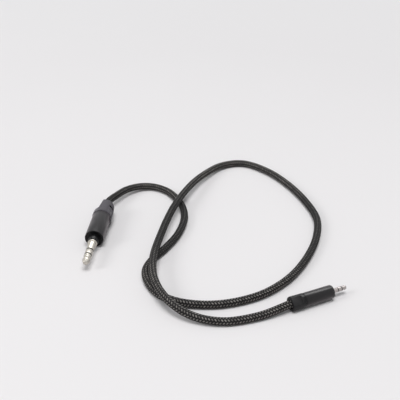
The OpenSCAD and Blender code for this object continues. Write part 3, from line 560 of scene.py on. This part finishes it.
def braided_yarn(sizes):
    """Black polyester yarn braided two over two: dull and dark, with a painted highlight along
    each float's crown.

    The map's U counts bundles round the cord and its V counts picks along it. The floats of one
    lean fill a row along the cord and those of the other lean the next, which gives a herringbone.
    """
    material, tree, shader = new_material("braided_polyester")
    uv = add_node(tree, "ShaderNodeUVMap", uv_map="braid")
    parts = add_node(tree, "ShaderNodeSeparateXYZ", {0: uv.outputs[0]})
    place = add_node(tree, "ShaderNodeTexCoord").outputs["Object"]
    drift = add_node(
        tree, "ShaderNodeTexNoise", {"Vector": place, "Scale": lumps(33.33), "Detail": 2.0},
    )
    made = {
        "u": parts.outputs[0], "v": parts.outputs[1], "drift": drift.outputs["Fac"],
        "back": add_node(tree, "ShaderNodeSeparateXYZ", {0: place}).outputs[1],
    }
    for name, operation, *terms in (
        # How far each lean has gone across its bundles, and which of the two lies on top
        ("lean_a", "ADD", "u", "v"), ("lean_b", "SUBTRACT", "u", "v"),
        ("bundle_a", "FLOOR", "lean_a"), ("bundle_b", "FLOOR", "lean_b"),
        ("across_a", "FRACT", "lean_a"), ("across_b", "FRACT", "lean_b"),
        ("cell", "ADD", "bundle_a", "bundle_b"),
        ("phase", "FLOORED_MODULO", "cell", 2.0 * OVER),
        ("a_on_top", "LESS_THAN", "phase", OVER - 0.5),
        # The float on top: its bundle and row, and the way gone across it and along it
        ("bundle", "CHOOSE", "a_on_top", "bundle_b", "bundle_a"),
        ("row", "DIVIDE", "cell", 2.0 * OVER), ("row", "FLOOR", "row"),
        ("across", "CHOOSE", "a_on_top", "across_b", "across_a"),
        ("gone_a", "ADD", "phase", "across_b"),
        ("gone_b", "ADD", "phase", "across_a"), ("gone_b", "SUBTRACT", "gone_b", float(OVER)),
        ("gone", "CHOOSE", "a_on_top", "gone_b", "gone_a"),
        # Its crown and its filaments
        ("swell", "MULTIPLY", "across", math.pi), ("swell", "SINE", "swell"),
        ("rise", "MULTIPLY", "gone", math.pi / OVER), ("rise", "SINE", "rise"),
        ("crown", "MULTIPLY", "swell", "rise"),
        ("filament", "MULTIPLY", "across", math.pi * FILAMENTS), ("filament", "SINE", "filament"),
        ("filament", "ABSOLUTE", "filament"),
        # The painted highlight along the crown, and what they do to the roughness and the surface
        ("caught", "POWER", "crown", 3.0), ("spread", "MULTIPLY_ADD", "filament", 0.4, 0.6),
        ("painted_highlight", "MULTIPLY", "caught", "spread"),
        ("dullness", "MULTIPLY_ADD", "crown", -0.2, 0.75),
        ("height", "MULTIPLY", "crown", 0.7),
        ("height", "MULTIPLY_ADD", "filament", 0.3, "height"),
        # Distance from the middle of the stretch where the painted highlight is dimmed
        ("away", "MULTIPLY_ADD", "drift", HIGHLIGHT_DIM_DRIFT, "back"),
        ("away", "SUBTRACT", "away", HIGHLIGHT_DIM_MIDDLE + HIGHLIGHT_DIM_DRIFT / 2), ("away", "ABSOLUTE", "away"),
    ):
        values = [made.get(term, term) for term in terms]
        if operation == "CHOOSE":
            inputs = dict(zip(("Factor", "A", "B"), values))
            node = add_node(tree, "ShaderNodeMix", inputs, data_type="FLOAT")
        else:
            node = add_node(tree, "ShaderNodeMath", dict(enumerate(values)), operation=operation)
        made[name] = node.outputs[0]
    float_place = add_node(tree, "ShaderNodeCombineXYZ", {0: made["bundle"], 1: made["row"]})
    each = add_node(
        tree, "ShaderNodeTexWhiteNoise", {"Vector": float_place.outputs[0]},
        noise_dimensions="2D",
    )
    painted_highlight = made["painted_highlight"]
    # The painted highlight is dimmed across the middle stretch and varies at random from float to
    # float
    for value, start, end, low, high in (
        (made["away"], HIGHLIGHT_DIM_HALF - HIGHLIGHT_DIM_BLEND, HIGHLIGHT_DIM_HALF + HIGHLIGHT_DIM_BLEND, DIM_STRETCH_HIGHLIGHT, FULL_STRETCH_HIGHLIGHT),
        (each.outputs["Value"], 0.0, 1.0, DIM_FLOAT, BRIGHT_FLOAT),
    ):
        share = add_node(
            tree, "ShaderNodeMapRange",
            {"Value": value, "From Min": start, "From Max": end, "To Min": low, "To Max": high},
        )
        node = add_node(
            tree, "ShaderNodeMath", {0: painted_highlight, 1: share.outputs[0]}, operation="MULTIPLY",
        )
        painted_highlight = node.outputs[0]
    # The base colour runs from the yarn to the painted crown highlight
    lay_finish(
        tree, shader, painted_highlight, (sizes.yarn, sizes.crown_highlight), made["height"], 0.5, 0.15 * MM,
        {"Roughness": made["dullness"], "Specular IOR Level": YARN_SPECULAR},
    )
    return material


def plain_inside(name, tint, metallic, roughness, grain_width):
    """A plug's inner piece: bright where it is drawn wire or sheet, waxy where it is moulded."""
    material, tree, shader = new_material(name)
    place = add_node(tree, "ShaderNodeTexCoord").outputs["Object"]
    grain = add_node(
        tree, "ShaderNodeTexNoise",
        {"Vector": place, "Scale": lumps(grain_width), "Detail": 3.0},
    ).outputs["Fac"]
    lay_finish(
        tree, shader, grain, (shaded(tint, 0.85), tint), grain, 0.2, 0.03 * MM,
        {"Metallic": metallic, "Roughness": roughness},
    )
    return material


# --- The braid ---

# Straight stretch of cord behind each boot, in millimetres
CORD_STRAIGHT = 1.5
# Steps of the route between two of its points
ROUTE_STEPS = 8
# Points round the cord, and rings of points in each pick
BRAID_SIDES = 48
RINGS_A_PICK = 4
# Turns the rows of floats so that one lies at each side of the cord, in rows
ROW_TURN = 0.75
# Steeper edges of the braid than this stay sharp in the shading, in degrees
BRAID_SMOOTH_ANGLE = 75


def smooth_route(points, steps):
    """A smooth line through the points but the first and last, which set its end slopes."""
    line = []
    for a, b, c, d in zip(points, points[1:], points[2:], points[3:]):
        for k in range(steps):
            t = k / steps
            line.append(
                (2 * b + (c - a) * t + (2 * a - 5 * b + 4 * c - d) * t**2
                 + (3 * b - a - 3 * c + d) * t**3) / 2
            )
    line.append(points[-2])
    return line


def evenly(line, step):
    """Points at even distances along a line, from its first to its last."""
    line = np.array(line)
    gone = np.concatenate([[0], np.cumsum(np.linalg.norm(np.diff(line, axis=0), axis=1))])
    count = max(2, round(gone[-1] / step))
    places = np.linspace(0, gone[-1], count + 1)
    return np.stack([np.interp(places, gone, line[:, i]) for i in range(3)], 1), places


def braid_tube(name, line, sizes):
    """A closed tube along a line, whose wall swells along each float of yarn, and its length."""
    sides = BRAID_SIDES
    line, places = evenly(line, sizes.pick / RINGS_A_PICK)
    along = np.gradient(line, axis=0)
    along /= np.linalg.norm(along, axis=1)[:, None]
    out = np.cross(along[0], (0, 0, 1))
    outs = []
    for direction in along:
        out = out - direction * out.dot(direction)
        out /= np.linalg.norm(out)
        outs.append(out)
    outs = np.array(outs)
    ups = np.cross(along, outs)
    turn = np.arange(sides) / sides
    v = places / sizes.pick
    lean_a = turn[None, :] * sizes.carriers + ROW_TURN + v[:, None]
    lean_b = turn[None, :] * sizes.carriers + ROW_TURN - v[:, None]
    phase = (np.floor(lean_a) + np.floor(lean_b)) % (2 * OVER)
    a_on_top = phase < OVER
    across = np.where(a_on_top, lean_a, lean_b) % 1
    gone = np.where(a_on_top, phase + lean_b % 1, phase - OVER + lean_a % 1)
    hump = np.sin(across * math.pi) * np.sin(gone * math.pi / OVER)
    radius = sizes.radius - sizes.crown * (1 - np.sqrt(np.clip(hump, 0, 1)))
    angle = turn * 2 * math.pi
    spoke = (
        outs[:, None, :] * np.cos(angle)[None, :, None]
        + ups[:, None, :] * np.sin(angle)[None, :, None]
    )
    rings = line[:, None, :] + spoke * radius[:, :, None]
    count = len(line)
    points = [tuple(p) for p in rings.reshape(-1, 3)]
    faces = []
    uvs = []
    for i in range(count - 1):
        for k in range(sides):
            n = (k + 1) % sides
            faces.append((i * sides + k, i * sides + n, (i + 1) * sides + n, (i + 1) * sides + k))
            u0, u1 = (ROW_TURN + step / sides * sizes.carriers for step in (k, k + 1))
            uvs += [(u0, v[i]), (u1, v[i]), (u1, v[i + 1]), (u0, v[i + 1])]
    faces.append(tuple(range(sides - 1, -1, -1)))
    uvs += [(turn[k] * sizes.carriers, v[0]) for k in range(sides - 1, -1, -1)]
    last = (count - 1) * sides
    faces.append(tuple(range(last, last + sides)))
    uvs += [(turn[k] * sizes.carriers, v[-1]) for k in range(sides)]
    mesh = bpy.data.meshes.new(name)
    mesh.from_pydata(points, [], faces)
    layer = mesh.uv_layers.new(name="braid")
    layer.data.foreach_set("uv", [c for uv in uvs for c in uv])
    mesh.validate()
    piece = bpy.data.objects.new(name, mesh)
    bpy.context.scene.collection.objects.link(piece)
    select_only(piece)
    bpy.ops.object.mode_set(mode="EDIT")
    face_outwards()
    bpy.ops.object.shade_smooth_by_angle(angle=math.radians(BRAID_SMOOTH_ANGLE))
    return piece, places[-1]


# --- The plugs ---

# Gap between two pieces of different bodies, and between pieces that thread or press in
BODY_GAP = 0.25 * MM
THREAD_FIT = 0.05 * MM
# Turns that unscrew a boot
BOOT_TURNS = 3
# Depth of the thread, and places and depths along one turn of it, as shares of the pitch and
# of that depth
THREAD_DEPTH = 0.45
THREAD_FORM = ((0.1, 0), (0.4, 0), (0.65, 1), (0.85, 1))
# The contacts' hidden bore and the black rings, as shares of the shaft's radius
CORE_SHARE = 0.5
WASHER_SHARE = 0.985
# Where each boot's thumb flat, the tongue and the slot face, in degrees round the axis
FLAT_TURNS = {"jack": 240, "mini": 218}
TONGUE_TURN, TONGUE_ANGLE = 78, 40
SLOT_TURN, SLOT_ANGLE = 120, 42
# Height of the tongue and its reach over the barrel
TONGUE_HEIGHT = 0.6 * MM
TONGUE_REACH = 4 * MM
# Place of the slot behind the collar, its width, depth and lean
SLOT_START = 9.6 * MM
SLOT_WIDTH = 2 * MM
SLOT_DEPTH = 2.2 * MM
SLOT_LEAN = 3.3 * MM
# Chamfer of the collar's front edge
COLLAR_EDGE = 0.3 * MM
# Widths of the softened edges, those of the contacts and the nose as shares of the shaft's
# and the boss's radius
TIP_EDGE, RING_EDGE, SLEEVE_EDGE, NOSE_EDGE = 0.012, 0.03, 0.06, 0.03
BARREL_EDGE, BOOT_EDGE = 0.15 * MM, 0.12 * MM


def thread(front, back, crest, pitch):
    """Steps of a threaded stretch: crests and roots a pitch apart, from its front to its back."""
    depth = THREAD_DEPTH * pitch
    turns = int((front - back) / pitch)
    steps = [
        (front - (i + share) * pitch, crest - sunk * depth)
        for i in range(turns) for share, sunk in THREAD_FORM
    ]
    return [(front, crest - depth)] + steps + [(front - turns * pitch, crest), (back, crest)]


def boot_back(sizes):
    """Distance from the barrel's front plane back to the boot's rear end."""
    return sizes.barrel_len + BODY_GAP + sizes.boot_len


def braid_front(sizes):
    """Distance from the barrel's front plane back to where the braid starts under the boot."""
    clamp_back = sizes.barrel_len - sizes.spigot_len - BODY_GAP + sizes.clamp_len
    return clamp_back + BOOT_TURNS * sizes.pitch + BODY_GAP


def behind(matrix, distance):
    """Point on a plug's axis, a distance behind the barrel's front plane."""
    return matrix @ Vector((0, 0, -distance))


class CABLE_OT_cord(Operator):
    """Lays the braided cord and its straight ends in the two boots"""

    bl_idname = "cable.cord"
    bl_label = "Braided cord"

    def execute(self, context):
        scene = context.scene
        sizes = scene.cord_sizes
        (_, jack, jack_place), (_, mini, mini_place) = plugs(scene)
        jack_exit = boot_back(jack) + CORD_STRAIGHT * MM
        mini_exit = boot_back(mini) + CORD_STRAIGHT * MM
        lead_in = 4 * CORD_STRAIGHT * MM
        points = [behind(jack_place, jack_exit - lead_in), behind(jack_place, jack_exit)]
        points += [Vector(p) * MM for p in CORD_POINTS]
        points += [behind(mini_place, mini_exit), behind(mini_place, mini_exit - lead_in)]
        route = smooth_route(points, ROUTE_STEPS)
        for p in route:
            p.z = max(p.z, sizes.radius)
        material = braided_yarn(sizes)
        cord, run = braid_tube("cord_braid", route, sizes)
        settle(cord, None, "cord", material)
        for name, place, plug, exit_at in (
            ("jack", jack_place, jack, jack_exit), ("mini", mini_place, mini, mini_exit),
        ):
            line = [behind(place, exit_at), behind(place, braid_front(plug))]
            end, _ = braid_tube(name + "_braid_end", line, sizes)
            settle(end, None, name + "_cord_end", material)
        return {"FINISHED"}


class CABLE_OT_contacts(Operator):
    """Turns the contacts of both plugs and their black insulating rings"""

    bl_idname = "cable.contacts"
    bl_label = "Contacts"

    # Distance from the tip's end and radius, as shares of the tip's length and shaft's radius
    tip_shape = (
        (0.0, 0.38), (0.008, 0.48), (0.03, 0.58), (0.07, 0.665), (0.13, 0.75), (0.22, 0.86),
        (0.31, 0.95), (0.38, 1.0), (0.43, 0.985), (0.5, 0.92), (0.58, 0.85), (0.68, 0.8),
        (0.76, 0.8), (0.83, 0.87), (0.88, 0.955), (0.91, 1.0), (1.0, 1.0),
    )

    def execute(self, context):
        scene = context.scene
        finishes = scene.cable_finishes
        for name, s, place in plugs(scene):
            nickel = nickel_plate(
                place, finishes.nickel if name == "jack" else finishes.mini_nickel
            )
            black = gloss_plastic(place, finishes.gloss_black)
            end = s.boss_len + s.flange_t + s.shaft_len
            core = s.shaft_r * CORE_SHARE
            tip_back = end - s.tip_len
            tip = turned(
                name + "_tip_contact",
                [(end - d * s.tip_len, r * s.shaft_r) for d, r in self.tip_shape]
                + [(tip_back, core), (tip_back - s.washer_t, core)],
            )
            soften(tip, TIP_EDGE * s.shaft_r, angle=45)
            settle(tip, place, name + "_tip", nickel)
            ring_front = tip_back - s.washer_t
            ring_back = ring_front - s.ring_len
            sleeve_front = ring_back - s.washer_t
            for node, front, back in (
                ("tip_washer", tip_back, ring_front), ("ring", ring_front, ring_back),
                ("ring_washer", ring_back, sleeve_front),
            ):
                if node == "ring":
                    part, radius, material, slot = "_contact", s.shaft_r, nickel, "nickel"
                else:
                    part, radius = "_ring", s.shaft_r * WASHER_SHARE
                    material, slot = black, "black_ring"
                band = turned(
                    name + "_" + node + part,
                    [(front, core), (front, radius), (back, radius), (back, core), (front, core)],
                )
                soften(band, RING_EDGE * s.shaft_r)
                settle(band, place, name + "_" + node, material)
            flange_front = s.boss_len + s.flange_t
            sleeve = turned(
                name + "_sleeve_contact",
                [
                    (sleeve_front, core), (sleeve_front, s.shaft_r), (flange_front, s.shaft_r),
                    (flange_front, s.flange_r), (s.boss_len, s.flange_r), (s.boss_len, s.stem_r),
                    (-s.nose_t - s.front_wall, s.stem_r), (-s.nose_t - s.front_wall, core),
                    (sleeve_front, core),
                ],
            )
            soften(sleeve, SLEEVE_EDGE * s.shaft_r)
            settle(sleeve, place, name + "_sleeve", nickel)
        return {"FINISHED"}


def nose_outline(s):
    """Steps of the nose: its boss, the dished face round it and its rim in the barrel's mouth."""
    disc_r = s.barrel_r - s.rim - THREAD_FIT
    return [
        (s.boss_len, s.stem_r), (s.boss_len, s.boss_r), (-s.nose_recess - s.nose_dish, s.boss_r),
        (-s.nose_recess, disc_r), (-s.nose_t, disc_r), (-s.nose_t, s.stem_r),
        (s.boss_len, s.stem_r),
    ]


def barrel_outline(s):
    """Steps of the barrel: its rounded front, bore and inner front wall."""
    wall_back = -s.nose_t - s.front_wall
    mouth_r = s.barrel_r - s.rim
    front = rounded(0, s.barrel_r, s.front_round, -1, range(90, -1, -ROUND_STEP))
    return [(0, mouth_r)] + front + [
        (-s.barrel_len, s.barrel_r), (-s.barrel_len, s.bore_r),
        (wall_back, s.bore_r), (wall_back, s.stem_r), (-s.nose_t, s.stem_r),
        (-s.nose_t, mouth_r), (0, mouth_r),
    ]


class CABLE_OT_shells(Operator):
    """Turns the barrels and the glossy noses in their mouths"""

    bl_idname = "cable.shells"
    bl_label = "Barrels and noses"

    def execute(self, context):
        scene = context.scene
        finishes = scene.cable_finishes
        for name, s, place in plugs(scene):
            nose = turned(name + "_nose_boss", nose_outline(s))
            soften(nose, NOSE_EDGE * s.boss_r, segments=3, angle=20)
            black = gloss_plastic(place, finishes.gloss_black)
            settle(nose, place, name + "_nose", black)
            barrel = turned(name + "_barrel_shell", barrel_outline(s), sides=BODY_SIDES)
            soften(barrel, BARREL_EDGE, angle=50)
            tint = finishes.barrel if name == "jack" else finishes.mini_barrel
            lacquer = satin_black(place, tint, BARREL_DUST[name], BARREL_WAX[name])
            settle(barrel, place, name + "_barrel", lacquer)
        return {"FINISHED"}


def cut_away(piece, planes):
    """Cuts with planes, each a point and the way to what is cut away, and closes the cuts."""
    select_only(piece)
    bpy.ops.object.mode_set(mode="EDIT")
    for point, way in planes:
        bpy.ops.mesh.select_all(action="SELECT")
        bpy.ops.mesh.bisect(plane_co=point, plane_no=way, use_fill=True, clear_outer=True)
    face_outwards()


def sector(name, outline, turn, angle):
    """Part of a ring: a closed outline of (height, radius) steps turned about Z and cut twice."""
    piece = turned(name, outline + outline[:1], sides=BODY_SIDES)
    ways = [math.radians(turn + side * (angle / 2 + 90)) for side in (1, -1)]
    cut_away(piece, [((0, 0, 0), (math.cos(way), math.sin(way), 0)) for way in ways])
    return piece


def combine(piece, tool, operation):
    """Joins a tool to a piece or cuts it out, and removes the tool."""
    apply_modifier(piece, "BOOLEAN", object=tool, operation=operation, solver="EXACT")
    bpy.data.objects.remove(tool)


def flat_cutter(s, turn):
    """A wedge that cuts the boot's thumb flat."""
    collar = -s.barrel_len - BODY_GAP
    back = -boot_back(s) - MM
    reach = 2 * s.boot_r
    slope = s.flat_ramp / (s.boot_r - s.flat_front)
    start = collar - s.flat_start
    tall = collar - back
    deselect_all()
    bpy.ops.mesh.primitive_cube_add(
        size=1, location=(reach / 2, 0, back + tall / 2), scale=(reach, 2 * reach, tall),
    )
    apply_place()
    piece = bpy.context.object
    edge = (s.flat_front, 0, start - s.flat_ramp)
    fall = (s.flat_front - s.flat_rear) / (edge[2] - back)
    cut_away(piece, [(edge, (-slope, 0, 1)), (edge, (-1, 0, fall))])
    piece.rotation_euler = (0, 0, math.radians(turn))
    apply_place()
    return piece


def boot_outline(s, cord_r):
    """Steps of the boot: threaded spigot, collar, rounded rear end and flared bore."""
    collar = -s.barrel_len - BODY_GAP
    back = -boot_back(s)
    spigot_r = s.bore_r - THREAD_FIT
    spigot_front = s.spigot_len - s.barrel_len
    socket_r = spigot_r - s.spigot_wall
    socket_back = spigot_front - s.clamp_len
    bore_r = cord_r + BODY_GAP
    return [
        (spigot_front, socket_r),
        *thread(spigot_front, collar, spigot_r, s.pitch),
        (collar, s.boot_r - COLLAR_EDGE), (collar - COLLAR_EDGE, s.boot_r),
        (collar - s.tail_start, s.boot_r),
        *rounded(back, s.tail_r, s.tail_round, 1, range(0, 91, ROUND_STEP)),
        (back, s.mouth_r), (back + s.mouth_len, bore_r), (socket_back, bore_r),
        (socket_back, socket_r), (spigot_front, socket_r),
    ]


def side_tongue(s):
    """The tongue that reaches from the boot's collar over the barrel."""
    collar = -s.barrel_len - BODY_GAP
    front = collar + TONGUE_REACH
    root = s.boot_r - 2 * BODY_GAP
    low = s.boot_r + BODY_GAP / 2
    high = s.boot_r + TONGUE_HEIGHT
    outline = [
        (collar, root), (collar, low), (front, low), (front, high - TONGUE_HEIGHT / 3),
        (front - TONGUE_HEIGHT, high), (collar - s.flat_start, high),
        (collar - s.tail_start, s.boot_r), (collar - s.tail_start, root),
    ]
    return sector("tongue", outline, TONGUE_TURN, TONGUE_ANGLE)


def leaning_slot(s):
    """A cutter for the slot behind the tongue, which leans back on its way in."""
    front = -s.barrel_len - BODY_GAP - SLOT_START
    floor_r = s.boot_r - SLOT_DEPTH
    mouth_r = s.boot_r + BODY_GAP
    mouth = front + BODY_GAP * SLOT_LEAN / SLOT_DEPTH
    outline = [
        (front - SLOT_LEAN, floor_r), (mouth, mouth_r), (mouth - SLOT_WIDTH, mouth_r),
        (front - SLOT_LEAN - SLOT_WIDTH, floor_r),
    ]
    return sector("slot", outline, SLOT_TURN, SLOT_ANGLE)


class CABLE_OT_boots(Operator):
    """Moulds the two boots with their thumb flats, the tongue and the slot"""

    bl_idname = "cable.boots"
    bl_label = "Boots"

    def execute(self, context):
        scene = context.scene
        finishes = scene.cable_finishes
        tints = {
            "jack": (finishes.boot, finishes.boot),
            # The small boot's collar takes the darker gloss black, partly painted shade of the
            # step and gap behind the barrel
            "mini": (finishes.mini_boot, finishes.gloss_black),
        }
        for name, s, place in plugs(scene):
            outline = boot_outline(s, scene.cord_sizes.radius)
            boot = turned(name + "_boot_moulding", outline, sides=BODY_SIDES)
            if name == "jack":
                combine(boot, side_tongue(s), "UNION")
            combine(boot, flat_cutter(s, FLAT_TURNS[name]), "DIFFERENCE")
            if name == "jack":
                combine(boot, leaning_slot(s), "DIFFERENCE")
            soften(boot, BOOT_EDGE, angle=40)
            plastic = moulded_plastic(
                name + "_glass_filled_nylon", place, *tints[name],
                collar_back=-s.barrel_len - BODY_GAP - s.flat_start,
            )
            settle(
                boot, place, name + "_boot", plastic, body=name + "_boot_body",
            )
        return {"FINISHED"}


class CABLE_OT_inside(Operator):
    """Gives the pieces inside both plugs their materials"""

    bl_idname = "cable.inside"
    bl_label = "Inner pieces"

    def execute(self, context):
        # Name, colour, metallic, roughness and the width of the grain in millimetres
        brass, tinned, acetal, nylon, rubber, red, white, copper = (
            plain_inside(name, linear(tint), *look) for name, tint, *look in (
                ("drawn_brass", "#C8A25A", 1.0, 0.3, 1.11),
                ("tinned_copper", "#C9C8C2", 1.0, 0.35, 0.667),
                ("natural_acetal", "#E4DFD0", 0.0, 0.4, 1.43),
                ("black_nylon", "#222224", 0.0, 0.5, 0.833),
                ("black_rubber", "#1C1B1B", 0.0, 0.75, 0.625),
                ("red_vinyl", "#A82A20", 0.0, 0.4, 1.11),
                ("white_vinyl", "#E8E6E0", 0.0, 0.4, 1.11),
                ("bare_copper", "#B87349", 1.0, 0.35, 0.385),
            )
        )
        finish = {
            "inner_tube": acetal, "outer_tube": acetal, "ring_spacer": acetal,
            "tip_spacer": acetal, "liner": acetal, "ground_tang": tinned, "ring_lug": tinned,
            "tip_lug": tinned, "nut": brass, "clamp": nylon, "jacket_end": rubber,
            "tip_lead": red, "ring_lead": white, "shield_tail": copper,
        }
        for plug in ("jack", "mini"):
            for node, material in finish.items():
                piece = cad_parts[plug + "_" + node]
                piece.data.materials.clear()
                piece.data.materials.append(material)
        return {"FINISHED"}


# --- The studio ---

CAMERA_SPOT = (-7.83 * MM, -537.43 * MM, 365.3 * MM)
# Degrees up from straight down, and millimetres
CAMERA_TILT = 59.946
CAMERA_LENS = 72.0
CAMERA_REACH = (0.02, 20.0)
# Width of the floor, in metres
FLOOR_WIDTH = 40
# The floor is plain paper this near the cable, and has faded to the room's white this far off,
# in metres
FLOOR_PLAIN, FLOOR_WHITE = 0.5, 1.7
ROOM_WHITE = "#F4F5F6"


def set_camera(scene):
    """Looks down at the cable through a long lens."""
    camera = bpy.data.cameras.new("camera")
    camera.sensor_width = 36.0
    camera.lens = CAMERA_LENS
    camera.clip_start, camera.clip_end = CAMERA_REACH
    eye = bpy.data.objects.new("camera", camera)
    scene.collection.objects.link(eye)
    eye.location = CAMERA_SPOT
    eye.rotation_euler = (math.radians(CAMERA_TILT), 0, 0)
    scene.camera = eye


def matt_paper(stage):
    """Matt paper: pale and faintly cloudy, and lost in the room's white far from the cable."""
    material, tree, shader = new_material("matt_paper")
    place = add_node(tree, "ShaderNodeTexCoord").outputs["Object"]
    cloud = add_node(tree, "ShaderNodeTexNoise", {"Vector": place, "Scale": lumps(333.3)})
    shade = add_node(
        tree, "ShaderNodeMix",
        {"Factor": cloud.outputs["Fac"], "A": stage.floor, "B": shaded(stage.floor, 0.98)},
        data_type="RGBA",
    )
    set_inputs(tree, shader, {"Base Color": shade.outputs["Result"], "Roughness": 0.9})
    away = add_node(tree, "ShaderNodeVectorMath", {0: place}, operation="LENGTH")
    far = add_node(
        tree, "ShaderNodeMapRange",
        {"Value": away.outputs["Value"], "From Min": FLOOR_PLAIN, "From Max": FLOOR_WHITE},
    )
    lost = add_node(
        tree, "ShaderNodeMath", {0: far.outputs[0], 1: directly_seen(tree)},
        operation="MULTIPLY",
    )
    white = add_node(tree, "ShaderNodeEmission", {"Color": linear(ROOM_WHITE), "Strength": 1.0})
    paper = add_node(
        tree, "ShaderNodeMixShader",
        {0: lost.outputs[0], 1: shader.outputs[0], 2: white.outputs[0]},
    )
    tree.links.new(paper.outputs[0], tree.nodes["Material Output"].inputs["Surface"])
    return material


def hang_lamps(scene, stage):
    """Hangs the lamps, aimed at the cable. Places and sizes are in metres."""
    for name, spot, width, height, power in (
        ("back_panel", (0.2, 1.4, 2.4), 2.2, 1.1, stage.back_power),
        ("top_lamp", (0.1, -0.6, 3.3), 1.8, 1.8, stage.top_power),
        ("front_lamp", (-2.4, -0.9, 1.6), 1.0, 1.0, stage.front_power),
    ):
        lamp = bpy.data.lights.new(name, "AREA")
        lamp.energy = power
        lamp.shape = "RECTANGLE"
        lamp.size, lamp.size_y = width, height
        holder = bpy.data.objects.new(name, lamp)
        scene.collection.objects.link(holder)
        holder.location = spot
        holder.visible_glossy = name != "top_lamp"
        holder.visible_diffuse = name != "back_panel"
        holder.rotation_euler = (-Vector(spot)).to_track_quat("-Z", "Y").to_euler()


def light_room(scene, stage):
    """Soft light from all round, in a room that looks plain white."""
    world = bpy.data.worlds.new("studio")
    scene.world = world
    world.use_nodes = True
    sky = world.node_tree
    sky.nodes.clear()
    light, white = (
        add_node(sky, "ShaderNodeBackground", {"Color": linear(ROOM_WHITE), "Strength": strength})
        for strength in (stage.room_light, 1.0)
    )
    seen = add_node(
        sky, "ShaderNodeMixShader",
        {0: directly_seen(sky), 1: light.outputs[0], 2: white.outputs[0]},
    )
    add_node(sky, "ShaderNodeOutputWorld", {"Surface": seen.outputs[0]})


class CABLE_OT_stage(Operator):
    """Sets the floor, the lamps, the room's light and the camera"""

    bl_idname = "cable.stage"
    bl_label = "Studio"

    def execute(self, context):
        scene = context.scene
        stage = scene.cable_stage
        set_camera(scene)
        deselect_all()
        bpy.ops.mesh.primitive_grid_add(x_subdivisions=4, y_subdivisions=4, size=FLOOR_WIDTH)
        floor = bpy.context.object
        floor.name = "studio_floor"
        floor.data.materials.append(matt_paper(stage))
        hang_lamps(scene, stage)
        light_room(scene, stage)
        scene.view_settings.view_transform = "Standard"
        return {"FINISHED"}


class CABLE_PT_panel(Panel):
    """Lists the pieces of the cable"""

    bl_label = "Instrument Cable"
    bl_idname = "CABLE_PT_panel"
    bl_space_type = "VIEW_3D"
    bl_region_type = "UI"
    bl_category = "Cable"

    def draw(self, context):
        for operator in OPERATORS:
            self.layout.operator(operator.bl_idname)
        for group in ("jack_sizes", "mini_sizes", "cord_sizes", "cable_finishes", "cable_stage"):
            settings = getattr(context.scene, group)
            box = self.layout.box()
            for key in settings.__annotations__:
                box.prop(settings, key)


GROUPS = {
    "jack_sizes": JackSizes, "mini_sizes": MiniSizes, "cord_sizes": CordSizes,
    "cable_finishes": Finishes, "cable_stage": StageSettings,
}
OPERATORS = (
    CABLE_OT_stage, CABLE_OT_cord, CABLE_OT_contacts, CABLE_OT_shells, CABLE_OT_boots,
    CABLE_OT_inside,
)


def register():
    """Registers the classes and hangs the settings on the scene."""
    for cls in (*GROUPS.values(), *OPERATORS, CABLE_PT_panel):
        bpy.utils.register_class(cls)
    for name, cls in GROUPS.items():
        setattr(bpy.types.Scene, name, PointerProperty(type=cls))


def unregister():
    """Takes the settings off the scene and unregisters the classes."""
    for name in GROUPS:
        delattr(bpy.types.Scene, name)
    for cls in reversed((*GROUPS.values(), *OPERATORS, CABLE_PT_panel)):
        bpy.utils.unregister_class(cls)


def main():
    """Builds the whole cable."""
    register()
    bpy.ops.cable.stage()
    bpy.ops.cable.cord()
    bpy.ops.cable.contacts()
    bpy.ops.cable.shells()
    bpy.ops.cable.boots()
    bpy.ops.cable.inside()


if __name__ == "__main__":
    main()
